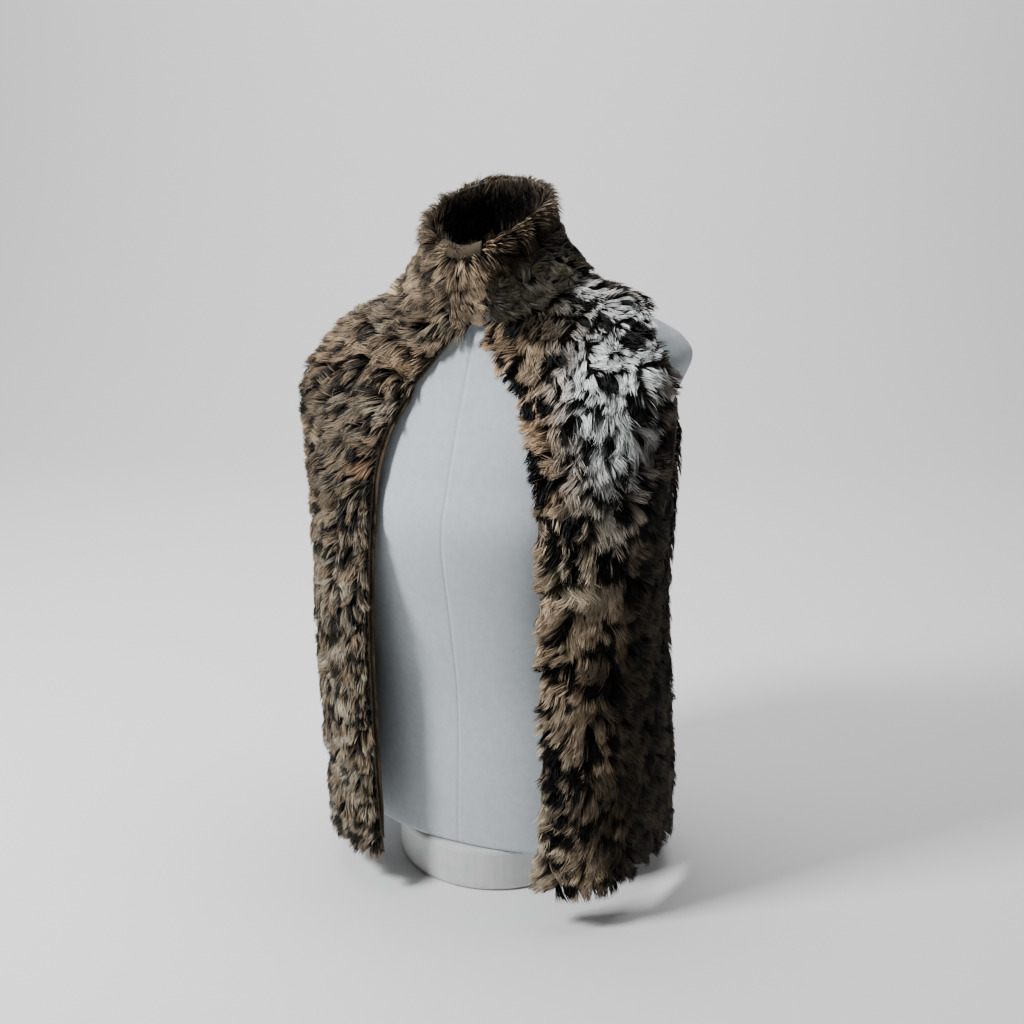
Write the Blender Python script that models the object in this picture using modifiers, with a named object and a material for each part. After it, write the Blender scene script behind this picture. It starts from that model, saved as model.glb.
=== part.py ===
"""Sleeveless long-pile fur vest with a funnel collar, worn open on a limbless dress form.

Metres, +Z up. The front faces -Y and the wearer's left is +X. The origin is the centre of the foot's
underside. Every fur piece is one closed wall: its inner face is the backing and its outer face is
where the pile ends. All of them follow rings around the body's upright axis, given by two tables.
"""

import math

import bmesh
import bpy
from mathutils import Vector

COLLECTION = "fur_vest_on_form"

# Foot and torso
FOOT_RADIUS = 0.100
FOOT_HEIGHT = 0.045
FOOT_EDGE = 0.004
FOOT_SIDES = 64
FOOT_EDGE_STEPS = 2
SEAM_GAP = 0.0003
TORSO_BASE = FOOT_HEIGHT + SEAM_GAP
TORSO_RINGS = 34
TORSO_SIDES = 44
ROUNDNESS = 0.90

# Rings of the torso: height above its base, half width, depth to the front, depth to the back
TORSO_ROWS = (
    ("base", 0.000, 0.142, 0.092, 0.106),
    ("hip", 0.050, 0.142, 0.092, 0.103),
    ("waist", 0.155, 0.132, 0.092, 0.086),
    ("ribs", 0.240, 0.136, 0.108, 0.090),
    ("bust", 0.330, 0.147, 0.128, 0.100),
    ("upper bust", 0.385, 0.154, 0.112, 0.104),
    ("underarm", 0.424, 0.170, 0.096, 0.100),
    ("cap middle", 0.458, 0.190, 0.080, 0.086),
    ("cap top", 0.480, 0.178, 0.069, 0.071),
    ("shoulder", 0.510, 0.137, 0.056, 0.057),
    ("shoulder at neck", 0.533, 0.086, 0.049, 0.053),
    ("neck", 0.552, 0.054, 0.047, 0.052),
    ("neck top", 0.564, 0.047, 0.043, 0.047),
)

# The form's left shoulder stands higher than its right one, from one level up to another, and less so
# towards the neck: the rise at the cap and the half widths at which it is nothing and whole
CAP_LIFT = 0.035
CAP_LIFT_LEVELS = (5.0, 7.0)
LIFT_WIDTHS = (0.060, 0.178)

# Rings of the vest's inner face: height above the torso's base, half width at the right and at the
# left, depth to the front, depth to the back, where the right and the left front edges lie across the
# front, and the angles at which the front panels end and the back panel starts at either side
SIDE = 90.0
VEST_ROWS = (
    ("hem", -0.017, 0.154, 0.180, 0.140, 0.132, -0.062, 0.087, SIDE, SIDE, SIDE, SIDE),
    ("high hip", 0.060, 0.161, 0.179, 0.138, 0.128, -0.071, 0.094, SIDE, SIDE, SIDE, SIDE),
    ("waist", 0.155, 0.170, 0.173, 0.136, 0.118, -0.076, 0.093, SIDE, SIDE, SIDE, SIDE),
    ("ribs", 0.240, 0.173, 0.166, 0.136, 0.114, -0.077, 0.090, SIDE, SIDE, SIDE, SIDE),
    ("bust", 0.320, 0.176, 0.167, 0.136, 0.114, -0.073, 0.087, SIDE, SIDE, SIDE, SIDE),
    ("underarm", 0.380, 0.185, 0.173, 0.121, 0.114, -0.074, 0.080, 84.0, 97.0, 81.0, 100.0),
    ("armhole low", 0.422, 0.191, 0.180, 0.106, 0.110, -0.067, 0.070, 77.0, 104.0, 75.0, 114.0),
    ("armhole", 0.456, 0.196, 0.193, 0.086, 0.092, -0.052, 0.055, 71.0, 107.0, 70.0, 134.0),
    ("shoulder tip", 0.4784, 0.180, 0.180, 0.072, 0.074, -0.038, 0.033, 72.0, 103.0, 67.0, 140.0),
    ("shoulder", 0.511, 0.141, 0.137, 0.059, 0.060, -0.013, 0.0155, SIDE, SIDE, 86.0, 103.0),
    ("shoulder at neck", 0.530, 0.100, 0.090, 0.053, 0.056, 0.0115, 0.0150, SIDE, SIDE, SIDE, SIDE),
    ("neck", 0.548, 0.080, 0.067, 0.056, 0.063, 0.0115, 0.0150, SIDE, SIDE, SIDE, SIDE),
)
NECK_LEVEL = 10.45
NECK_FRONT_LEVEL = 9.9
NECK_DROP_POWER = 1.5

# The vest hangs askew: its left shoulder rides up from the form, and a little of that is left at the
# neck
VEST_LIFT = 0.036
VEST_LIFT_LEVELS = (5.0, 7.6)
NECK_LIFT = 0.020

# Largest folds of the hanging cloth: angle, half spread and height of the ridge at the hem, and the
# level at which it has died away
FOLDS = (
    ("right front", -52.0, 13.0, 0.007, 4.5),
    ("left front", 48.0, 12.0, 0.008, 5.0),
    ("left side", 80.0, 12.0, -0.005, 4.0),
    ("back right", -142.0, 15.0, 0.010, 4.5),
    ("back middle", 176.0, 14.0, -0.006, 4.0),
    ("back left", 138.0, 15.0, 0.009, 4.5),
)

# Fur walls
PILE_REACH = 0.015
EDGE_REACH = 0.006
EDGE_ROUND = 0.026
LOCK_DEPTH = 0.0012
LOCK_DROP = 0.0035
WALL_ROWS = 26
FRONT_COLUMNS = 12
BACK_COLUMNS = 22
SLOPE_STEP = 0.01

# Collar: the centre of its top, the half width and half depth of its inner face there, the heights of
# its top above the torso's base, its wall with the pile on both sides, where along the wall the top
# starts to round over and the share of it that is left at the rim, the angle at which its ends meet
# and the gap that each leaves, in degrees
COLLAR_CENTRE = (-0.010, 0.004)
COLLAR_HALF_WIDTH = 0.040
COLLAR_HALF_DEPTH = 0.054
COLLAR_BACK_TOP = 0.650
COLLAR_FRONT_TOP = 0.592
COLLAR_TOP_POWER = 0.7
COLLAR_WALL = 0.020
COLLAR_ROWS = 9
COLLAR_ROUND_START = 0.70
COLLAR_RIM_SHARE = 0.2
COLLAR_OPENING_ANGLE = 20.0
COLLAR_END_GAP = 0.5

# Facing along the right front edge, one column of the panel wide: the rows it runs between, how far
# it shows past the fur and its wall
FACING_ROWS = (1, 19)
FACING_SHOWS = 0.003
FACING_WALL = 0.0015

# Tab over the top of the collar's right front end: the columns it spans and its wall
TAB_COLUMNS = (0, 5)
TAB_WALL = 0.0015


def smooth_row(table, level):
    """The values of a table at a level between its rows, on smooth curves through the rows."""
    last = len(table) - 1
    level = min(max(level, 0.0), float(last))
    index = min(int(level), last - 1)
    share = level - index
    near = [table[min(max(index + step, 0), last)][1:] for step in (-1, 0, 1, 2)]
    values = []
    for before, start, end, after in zip(*near):
        leave = 0.5 * (end - before) if index > 0 else end - start
        arrive = 0.5 * (after - start) if index < last - 1 else end - start
        square = share * share
        cube = square * share
        values.append(
            (2.0 * cube - 3.0 * square + 1.0) * start
            + (cube - 2.0 * square + share) * leave
            + (3.0 * square - 2.0 * cube) * end
            + (cube - square) * arrive
        )
    return values


def ring_point(half_width, front_depth, back_depth, angle):
    """Point of a ring, its angle in radians from the centre front towards the wearer's left."""
    across = math.sin(angle)
    along = math.cos(angle)
    depth = front_depth if along > 0.0 else back_depth
    x = half_width * math.copysign(abs(across) ** ROUNDNESS, across)
    y = -depth * math.copysign(abs(along) ** ROUNDNESS, along)
    return x, y


def angle_across(half_width, x):
    """The angle at which a ring's front lies at a distance across."""
    share = min(abs(x) / half_width, 1.0) ** (1.0 / ROUNDNESS)
    return math.copysign(math.asin(share), x)


def fold_height(level, angle):
    """How far the folds lift the cloth at a level and an angle."""
    height = 0.0
    for _, middle, spread, rise, top in FOLDS:
        turn = math.degrees(angle) - middle
        turn = (turn + 180.0) % 360.0 - 180.0
        if abs(turn) < 2.0 * spread and level < top:
            height += rise * math.cos(math.radians(45.0 * turn / spread)) ** 2 * (1.0 - level / top)
    return height


def smooth_step(low, high, value):
    """Zero below low, one above high, and smooth between."""
    share = min(max((value - low) / (high - low), 0.0), 1.0)
    return share * share * (3.0 - 2.0 * share)


def left_lift(rise, neck_rise, levels, level, half_width, angle):
    """How far the left shoulder stands up, on a ring of a half width."""
    low, high = LIFT_WIDTHS
    share = min(max((half_width - low) / (high - low), 0.0), 1.0)
    height = neck_rise + (rise - neck_rise) * share
    return height * smooth_step(*levels, level) * max(math.sin(angle), 0.0) ** 2


def vest_point(level, angle):
    """Point of the vest's inner face."""
    height, right, left, front, back = smooth_row(VEST_ROWS, level)[:5]
    half_width = left if math.sin(angle) > 0.0 else right
    x, y = ring_point(half_width, front, back, angle)
    fold = fold_height(level, angle)
    height += left_lift(VEST_LIFT, NECK_LIFT, VEST_LIFT_LEVELS, level, half_width, angle)
    return Vector((x + fold * math.sin(angle), y - fold * math.cos(angle), TORSO_BASE + height))


def neck_level(angle):
    """The level of the neck seam, lower at the centre front."""
    return NECK_LEVEL - (NECK_LEVEL - NECK_FRONT_LEVEL) * max(math.cos(angle), 0.0) ** NECK_DROP_POWER


def front_angle(side, level, share):
    """Angle on a front panel, the share running from its front edge to its side."""
    row = smooth_row(VEST_ROWS, level)
    half_width = row[2] if side > 0 else row[1]
    edge = angle_across(half_width, row[6] if side > 0 else row[5])
    end = side * math.radians(min(row[9] if side > 0 else row[7], SIDE))
    return edge + (end - edge) * share


def right_front_angle(level, share):
    """Angle on the right front panel."""
    return front_angle(-1, level, share)


def left_front_angle(level, share):
    """Angle on the left front panel."""
    return front_angle(1, level, share)


def back_angle(level, share):
    """Angle on the back panel, the share running from the wearer's left side round to the right."""
    row = smooth_row(VEST_ROWS, level)
    left = math.radians(max(row[10], SIDE))
    right = math.radians(360.0 - max(row[8], SIDE))
    return left + (right - left) * share


def panel_grid(angle_at, rows, columns):
    """Levels and angles of a panel's grid, its rows running from the hem to the neck seam."""
    grid = []
    for row in range(rows + 1):
        line = []
        for column in range(columns + 1):
            share = column / columns
            top = neck_level(angle_at(NECK_FRONT_LEVEL, share))
            level = top * row / rows
            line.append((level, angle_at(level, share)))
        grid.append(line)
    return grid


def surface_normal(level, angle):
    """Outward normal of the vest's inner face."""
    along = vest_point(level + SLOPE_STEP, angle) - vest_point(level - SLOPE_STEP, angle)
    across = vest_point(level, angle + SLOPE_STEP) - vest_point(level, angle - SLOPE_STEP)
    return across.cross(along).normalized()


def on_side_seam(angle):
    """Whether an angle is that of the side and shoulder seams."""
    return abs(math.cos(angle)) < 1.0e-6


def free_border(grid, points):
    """Border points of a panel that no seam holds: front edge, armhole and hem."""
    last_row = len(grid) - 1
    last_column = len(grid[0]) - 1
    free = []
    for row in range(last_row + 1):
        for column in (0, last_column):
            if not on_side_seam(grid[row][column][1]):
                free.append(points[row][column])
    free.extend(points[0])
    return free


def pile_reach(point, free):
    """Thickness of the fur at a point, rounding off towards the free border."""
    distance = min((point - other).length for other in free)
    share = 1.0 - min(distance / EDGE_ROUND, 1.0)
    return EDGE_REACH + (PILE_REACH - EDGE_REACH) * math.sqrt(1.0 - share * share)


def panel_faces(grid):
    """Inner and outer points of a panel. At side and shoulder seams it stops half a gap short."""
    inner = [[vest_point(level, angle) for level, angle in line] for line in grid]
    free = free_border(grid, inner)
    last_row = len(grid) - 1
    outer = []
    for row, line in enumerate(grid):
        outer_line = []
        for column, (level, angle) in enumerate(line):
            start = inner[row][column]
            lock = LOCK_DEPTH * (-1.0) ** (column + row // 2)
            if row == last_row or column in (0, len(line) - 1):
                lock = 0.0
            reach = pile_reach(start, free) + lock
            outer_line.append(start + reach * surface_normal(level, angle))
        outer.append(outer_line)
    for column in range(1, len(grid[0]) - 1):
        drop = LOCK_DROP * (column % 2)
        inner[0][column].z -= drop
        outer[0][column].z -= drop
    return inner, outer


def open_side_seams(grid, faces, direction):
    """Keeps the points on the side seam half a gap from the seam's plane."""
    for face in faces:
        for line, points in zip(grid, face):
            for (_, angle), point in zip(line, points):
                if on_side_seam(angle):
                    point.y = direction * SEAM_GAP / 2.0


def new_material(name, colour, roughness):
    """Plain surface finish of one sub-part."""
    material = bpy.data.materials.new(name)
    material.use_nodes = True
    shader = material.node_tree.nodes["Principled BSDF"]
    shader.inputs["Base Color"].default_value = (*colour, 1.0)
    shader.inputs["Roughness"].default_value = roughness
    shader.inputs["Metallic"].default_value = 0.0
    return material


def new_object(collection, name, vertices, faces, material):
    """Closed mesh object with its faces turned outwards and its quads split along the short way."""
    mesh = bpy.data.meshes.new(name)
    mesh.from_pydata(vertices, [], faces)
    body = bmesh.new()
    body.from_mesh(mesh)
    bmesh.ops.recalc_face_normals(body, faces=body.faces)
    quads = [face for face in body.faces if len(face.verts) == 4]
    bmesh.ops.triangulate(body, faces=quads, quad_method="SHORT_EDGE")
    body.to_mesh(mesh)
    body.free()
    mesh.shade_smooth()
    mesh.materials.append(material)
    item = bpy.data.objects.new(name, mesh)
    collection.objects.link(item)
    return item


def add_wall(collection, name, inner, outer, material):
    """Closed wall between two grids of points."""
    rows = len(inner)
    columns = len(inner[0])
    count = rows * columns
    vertices = [point for line in inner for point in line]
    vertices += [point for line in outer for point in line]

    def at(row, column):
        return row * columns + column

    faces = []
    for row in range(rows - 1):
        for column in range(columns - 1):
            ring = (at(row, column), at(row, column + 1), at(row + 1, column + 1), at(row + 1, column))
            faces.append(ring)
            faces.append(tuple(corner + count for corner in reversed(ring)))
    border = [at(0, column) for column in range(columns)]
    border += [at(row, columns - 1) for row in range(1, rows)]
    border += [at(rows - 1, column) for column in range(columns - 2, -1, -1)]
    border += [at(row, 0) for row in range(rows - 2, 0, -1)]
    for index, start in enumerate(border):
        end = border[(index + 1) % len(border)]
        faces.append((end, start, start + count, end + count))
    return new_object(collection, name, vertices, faces, material)


def add_torso(collection, material):
    """Smooth torso with shoulder caps and a short neck, closed flat below and above."""
    last_level = len(TORSO_ROWS) - 1
    vertices = []
    for ring in range(TORSO_RINGS + 1):
        level = last_level * ring / TORSO_RINGS
        height, half_width, front, back = smooth_row(TORSO_ROWS, level)
        for side in range(TORSO_SIDES):
            angle = 2.0 * math.pi * side / TORSO_SIDES
            x, y = ring_point(half_width, front, back, angle)
            lift = left_lift(CAP_LIFT, 0.0, CAP_LIFT_LEVELS, level, half_width, angle)
            vertices.append((x, y, TORSO_BASE + height + lift))
    faces = []
    for ring in range(TORSO_RINGS):
        for side in range(TORSO_SIDES):
            start = ring * TORSO_SIDES + side
            end = ring * TORSO_SIDES + (side + 1) % TORSO_SIDES
            faces.append((start, end, end + TORSO_SIDES, start + TORSO_SIDES))
    top = TORSO_RINGS * TORSO_SIDES
    faces.append(tuple(range(TORSO_SIDES - 1, -1, -1)))
    faces.append(tuple(range(top, top + TORSO_SIDES)))
    return new_object(collection, "form_torso", vertices, faces, material)


def add_foot(collection, material):
    """Low round foot under the torso."""
    bpy.ops.mesh.primitive_cylinder_add(
        vertices=FOOT_SIDES, radius=FOOT_RADIUS, depth=FOOT_HEIGHT, location=(0.0, 0.0, FOOT_HEIGHT / 2.0)
    )
    foot = bpy.context.object
    foot.name = "form_foot"
    foot.data.name = "form_foot"
    foot.data.materials.append(material)
    bevel = foot.modifiers.new("rounded_edges", "BEVEL")
    bevel.width = FOOT_EDGE
    bevel.segments = FOOT_EDGE_STEPS
    bevel.limit_method = "ANGLE"
    for owner in list(foot.users_collection):
        owner.objects.unlink(foot)
    collection.objects.link(foot)
    return foot


def past_neck_seam(panel, face):
    """A panel's last row of points, carried on over the gap of the neck seam."""
    line = []
    for point, last, before in zip(panel[face][-1], panel[1][-1], panel[1][-2]):
        line.append(point + (last - before).normalized() * 2.0 * SEAM_GAP)
    return line


def neck_edge(panels, face):
    """The collar's first points, from the right front edge round to the left one."""
    line = past_neck_seam(panels["right_front_panel"], face)
    line += past_neck_seam(panels["back_panel"], face)[-2:0:-1]
    line += past_neck_seam(panels["left_front_panel"], face)[::-1]
    return line


def collar_top(share):
    """Inner point of the collar's top, the share running from the right front end to the left."""
    turn = COLLAR_OPENING_ANGLE - COLLAR_END_GAP - (360.0 - 2.0 * COLLAR_END_GAP) * share
    turn = math.radians(turn)
    lift = 0.5 - 0.5 * math.cos(turn)
    height = COLLAR_FRONT_TOP + (COLLAR_BACK_TOP - COLLAR_FRONT_TOP) * lift ** COLLAR_TOP_POWER
    x, y = ring_point(COLLAR_HALF_WIDTH, COLLAR_HALF_DEPTH, COLLAR_HALF_DEPTH, turn)
    outward = Vector((math.sin(turn), -math.cos(turn), 0.0))
    start = Vector((COLLAR_CENTRE[0] + x, COLLAR_CENTRE[1] + y, TORSO_BASE + height))
    return start, outward


def collar_faces(panels):
    """Inner and outer points of the collar, from the neck seam up to its rounded top."""
    inner_base = neck_edge(panels, 1)
    outer_base = neck_edge(panels, 2)
    count = len(inner_base)
    inner = []
    outer = []
    for row in range(COLLAR_ROWS + 1):
        up = row / COLLAR_ROWS
        ease = up * (2.0 - up)
        over = max(up - COLLAR_ROUND_START, 0.0) / (1.0 - COLLAR_ROUND_START)
        narrowing = 0.5 * COLLAR_WALL * (1.0 - max(math.sqrt(1.0 - over * over), COLLAR_RIM_SHARE))
        inner_line = []
        outer_line = []
        for column in range(count):
            top, outward = collar_top(column / (count - 1))
            for line, base, reach, turn_in in (
                (inner_line, inner_base[column], 0.0, 1.0),
                (outer_line, outer_base[column], COLLAR_WALL, -1.0),
            ):
                end = top + outward * reach
                point = base.lerp(end, ease)
                point.z = base.z + (end.z - base.z) * up
                line.append(point + outward * narrowing * turn_in)
        inner.append(inner_line)
        outer.append(outer_line)
    return inner, outer


def add_facing(collection, grid, panel, material):
    """Plain turned strip behind the right front edge, its own edge showing past the fur."""
    first, last = FACING_ROWS
    inner = []
    outer = []
    for row in range(first, last + 1):
        level, angle = grid[row][0]
        start, end = panel[row][:2]
        outside = start + (start - end).normalized() * FACING_SHOWS
        normal = surface_normal(level, angle)
        points = (outside, start, end)
        outer.append([point - normal * 2.0 * SEAM_GAP for point in points])
        inner.append([point - normal * (2.0 * SEAM_GAP + FACING_WALL) for point in points])
    return add_wall(collection, "right_front_facing", inner, outer, material)


def add_tab(collection, collar, material):
    """Small plain strip that folds over the top of the collar's right front end."""
    inner, outer = collar
    below = []
    above = []
    for column in range(TAB_COLUMNS[0], TAB_COLUMNS[1] + 1):
        section = [inner[-2][column], inner[-1][column], outer[-1][column], outer[-2][column]]
        middle = (section[0] + section[3]) / 2.0
        below_line = []
        above_line = []
        for point in section:
            away = (point - middle).normalized()
            below_line.append(point + away * 2.0 * SEAM_GAP)
            above_line.append(point + away * (2.0 * SEAM_GAP + TAB_WALL))
        below.append(below_line)
        above.append(above_line)
    return add_wall(collection, "collar_tab", below, above, material)


def main():
    """Builds the vest and its form."""
    for item in list(bpy.data.objects):
        bpy.data.objects.remove(item)
    collection = bpy.data.collections.new(COLLECTION)
    bpy.context.scene.collection.children.link(collection)
    fur = new_material("fur", (0.42, 0.33, 0.25), 0.85)
    dark_fur = new_material("collar_fur", (0.22, 0.16, 0.12), 0.85)
    cloth = new_material("form_cloth", (0.80, 0.81, 0.84), 0.8)
    plain = new_material("facing_cloth", (0.30, 0.22, 0.13), 0.8)
    lacquer = new_material("foot_lacquer", (0.78, 0.78, 0.78), 0.45)
    add_foot(collection, lacquer)
    add_torso(collection, cloth)
    panels = {}
    for name, angle_at, columns, direction in (
        ("right_front_panel", right_front_angle, FRONT_COLUMNS, -1.0),
        ("left_front_panel", left_front_angle, FRONT_COLUMNS, -1.0),
        ("back_panel", back_angle, BACK_COLUMNS, 1.0),
    ):
        grid = panel_grid(angle_at, WALL_ROWS, columns)
        inner, outer = panel_faces(grid)
        open_side_seams(grid, (inner, outer), direction)
        add_wall(collection, name, inner, outer, fur)
        panels[name] = (grid, inner, outer)
    grid, inner, _ = panels["right_front_panel"]
    add_facing(collection, grid, inner, plain)
    collar = collar_faces(panels)
    add_wall(collection, "collar", *collar, dark_fur)
    add_tab(collection, collar, plain)


main()
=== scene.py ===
"""Looks of a long-pile fur vest with a funnel collar, worn open on a limbless dress form."""

import math
from collections import namedtuple

import bmesh
import bpy
import numpy as np
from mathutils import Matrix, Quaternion, Vector
from mathutils.kdtree import KDTree


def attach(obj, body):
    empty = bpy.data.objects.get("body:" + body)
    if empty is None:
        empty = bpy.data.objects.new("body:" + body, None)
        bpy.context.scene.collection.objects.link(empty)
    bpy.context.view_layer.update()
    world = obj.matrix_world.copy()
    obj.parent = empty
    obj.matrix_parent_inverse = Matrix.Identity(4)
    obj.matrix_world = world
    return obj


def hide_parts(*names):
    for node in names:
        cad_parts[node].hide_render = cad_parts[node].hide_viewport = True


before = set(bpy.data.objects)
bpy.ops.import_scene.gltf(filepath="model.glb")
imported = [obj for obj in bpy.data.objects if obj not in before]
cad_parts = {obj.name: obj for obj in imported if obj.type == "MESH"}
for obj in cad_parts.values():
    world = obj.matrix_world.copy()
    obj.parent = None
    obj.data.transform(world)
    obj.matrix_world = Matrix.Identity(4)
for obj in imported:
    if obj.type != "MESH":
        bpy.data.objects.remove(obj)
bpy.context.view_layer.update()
BODY = "root"

# Camera
CAMERA_AZIMUTH = 22.0
CAMERA_ELEVATION = 17.0
CAMERA_DISTANCE = 1.25
CAMERA_SCALE = 1000.0
CAMERA_ROLL = 0.6
CAMERA_ACROSS = 0.016
CAMERA_HEIGHT = 0.370
IMAGE_SIDE = 1024
SENSOR = 36.0

# Studio: where the lamps aim, and the floor's sweep behind the object
AIM = Vector((0.0, 0.0, 0.38))
FLOOR_DROP = 0.0005
SWEEP_NEAR = 5.0
SWEEP_FAR = 1.6
SWEEP_ROUND = 1.1
SWEEP_HEIGHT = 3.4
SWEEP_HALF_WIDTH = 5.0
FLOOR_TONE = (0.82, 0.82, 0.82, 1.0)

# Lamps: name, degrees from the front towards the wearer's left, degrees up, distance, size, power and
# colour; the backdrop's lamp is told by how far behind the object and how high it is, and the height
# that it aims at
LAMPS = (
    ("key", -45.0, 40.0, 2.0, 0.40, 64.0, (0.98, 0.99, 1.0)),
    ("fill", 40.0, 14.0, 2.0, 1.4, 0.4, (1.0, 0.96, 0.92)),
)
BACKDROP_LAMP_AWAY = 0.5
BACKDROP_LAMP_HEIGHT = 2.6
BACKDROP_AIM_HEIGHT = 0.6
BACKDROP_LAMP_SIZE = 1.8
BACKDROP_LAMP_POWER = 85.0
SKY_TONE = (1.0, 0.97, 0.92, 1.0)
SKY_STRENGTH = 0.08

# The body and the cloth, as in the part: where the torso starts, and how square its rings are
TORSO_BASE = 0.0453
ROUNDNESS = 0.90
SEAM_GAP = 0.0003

# Rings of the torso: height above its base, half width, depth to the front, depth to the back
TORSO_ROWS = (
    ("base", 0.000, 0.142, 0.092, 0.106),
    ("hip", 0.050, 0.142, 0.092, 0.103),
    ("waist", 0.155, 0.132, 0.092, 0.086),
    ("ribs", 0.240, 0.136, 0.108, 0.090),
    ("bust", 0.330, 0.147, 0.128, 0.100),
    ("upper bust", 0.385, 0.154, 0.112, 0.104),
    ("underarm", 0.424, 0.170, 0.096, 0.100),
    ("cap middle", 0.458, 0.190, 0.080, 0.086),
    ("cap top", 0.480, 0.178, 0.069, 0.071),
    ("shoulder", 0.510, 0.137, 0.056, 0.057),
    ("shoulder at neck", 0.533, 0.086, 0.049, 0.053),
    ("neck", 0.552, 0.054, 0.047, 0.052),
    ("neck top", 0.564, 0.047, 0.043, 0.047),
)

# The form's left shoulder stands higher than its right one, from one level up to another, and less so
# towards the neck: the rise at the cap and the half widths at which it is nothing and whole
CAP_LIFT = 0.035
CAP_LIFT_LEVELS = (5.0, 7.0)
LIFT_WIDTHS = (0.060, 0.178)

# Mesh of the torso: degrees from point to point, extra ones beside the seams, its lowest levels, and
# the rings above them; the seams' depth and their width in degrees, and the base's rounding
TORSO_TURN = 3.0
SEAM_TURNS = (-0.9, -0.55, -0.3, -0.12, 0.0, 0.12, 0.3, 0.55, 0.9)
BASE_LEVELS = (0.0, 0.02, 0.06, 0.12)
TORSO_START_LEVEL = 0.2
TORSO_RINGS = 110
SEAM_DEPTH = 0.0006
SEAM_WIDTH = 0.30
BASE_ROUND = 0.003

# Rings of the vest's inner face: height above the torso's base, half width at the right and at the
# left, depth to the front, depth to the back, where the right and the left front edges lie across the
# front, and the angles at which the front panels end and the back panel starts at either side
SIDE = 90.0
VEST_ROWS = (
    ("hem", -0.017, 0.154, 0.180, 0.140, 0.132, -0.062, 0.087, SIDE, SIDE, SIDE, SIDE),
    ("high hip", 0.060, 0.161, 0.179, 0.138, 0.128, -0.071, 0.094, SIDE, SIDE, SIDE, SIDE),
    ("waist", 0.155, 0.170, 0.173, 0.136, 0.118, -0.076, 0.093, SIDE, SIDE, SIDE, SIDE),
    ("ribs", 0.240, 0.173, 0.166, 0.136, 0.114, -0.077, 0.090, SIDE, SIDE, SIDE, SIDE),
    ("bust", 0.320, 0.176, 0.167, 0.136, 0.114, -0.073, 0.087, SIDE, SIDE, SIDE, SIDE),
    ("underarm", 0.380, 0.185, 0.173, 0.121, 0.114, -0.074, 0.080, 84.0, 97.0, 81.0, 100.0),
    ("armhole low", 0.422, 0.191, 0.180, 0.106, 0.110, -0.067, 0.070, 77.0, 104.0, 75.0, 114.0),
    ("armhole", 0.456, 0.196, 0.193, 0.086, 0.092, -0.052, 0.055, 71.0, 107.0, 70.0, 134.0),
    ("shoulder tip", 0.4784, 0.180, 0.180, 0.072, 0.074, -0.038, 0.033, 72.0, 103.0, 67.0, 140.0),
    ("shoulder", 0.511, 0.141, 0.137, 0.059, 0.060, -0.013, 0.0155, SIDE, SIDE, 86.0, 103.0),
    ("shoulder at neck", 0.530, 0.100, 0.090, 0.053, 0.056, 0.0115, 0.0150, SIDE, SIDE, SIDE, SIDE),
    ("neck", 0.548, 0.080, 0.067, 0.056, 0.063, 0.0115, 0.0150, SIDE, SIDE, SIDE, SIDE),
)
NECK_LEVEL = 10.45
NECK_FRONT_LEVEL = 9.9
NECK_DROP_POWER = 1.5

# The vest hangs askew: its left shoulder rides up from the form, and a little of that is left at the
# neck
VEST_LIFT = 0.036
VEST_LIFT_LEVELS = (5.0, 7.6)
NECK_LIFT = 0.020

FOLDS = (
    ("right front", -52.0, 13.0, 0.007, 4.5),
    ("left front", 48.0, 12.0, 0.008, 5.0),
    ("left side", 80.0, 12.0, -0.005, 4.0),
    ("back right", -142.0, 15.0, 0.010, 4.5),
    ("back middle", 176.0, 14.0, -0.006, 4.0),
    ("back left", 138.0, 15.0, 0.009, 4.5),
)

# Reach of the pile, as in the part
PILE_REACH = 0.015
EDGE_REACH = 0.006
EDGE_ROUND = 0.026

# Collar, as in the part; the shares of its length at which the side seams lie
COLLAR_CENTRE = (-0.010, 0.004)
COLLAR_HALF_WIDTH = 0.040
COLLAR_HALF_DEPTH = 0.054
COLLAR_BACK_TOP = 0.650
COLLAR_FRONT_TOP = 0.592
COLLAR_TOP_POWER = 0.7
COLLAR_WALL = 0.020
COLLAR_OPENING_ANGLE = 20.0
COLLAR_END_GAP = 0.5
COLLAR_SIDES = (12.0 / 46.0, 34.0 / 46.0)

# Over what share of the collar its ends thin out, where its pile starts to turn up over the rim, and
# the heights between which it grows to its full thickness
COLLAR_END_SHARE = 0.10
COLLAR_TURN_UP = 0.84
COLLAR_FULL_HEIGHTS = (0.53, 0.58)

# Backing cloth: its thickness, its grid, how far it stops short of the pile's reach at its edges, at
# the hem and at the collar's rim, and how far up the panels' knit stands inside the collar, as a share
# of the panel
BACKING = 0.0016
COLLAR_BACKING = 0.0024
PANEL_ROWS = 84
FRONT_COLUMNS = 30
BACK_COLUMNS = 56
COLLAR_ROWS = 18
COLLAR_COLUMNS = 120
EDGE_INSET = 0.03
HEM_INSET = 0.018
RIM_DROP = 0.008
NECK_TUCK = 1.03

# Pile: length of a hair, its width, spacing of the locks and of the tufts that they gather into, how
# far a lock and a tuft close, the places along a hair where it is modelled with its width there, and
# how light it is at each; the dark root is partly the fur's own darker base and partly painted shade
# between the locks
PILE = 0.0235
COLLAR_PILE = 0.019
HAIR_WIDTH = 0.0011
LOCK_SPACING = 0.0052
TUFT_SPACING = 0.0135
CLUMP = 0.66
TUFT_CLUMP = 0.34
STATIONS = ((0.0, 0.8), (0.40, 1.0), (0.75, 0.66), (1.0, 0.0))
HAIR_TONES_WITH_PAINTED_SHADE = (0.05, 0.30, 1.0, 1.30)

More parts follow.
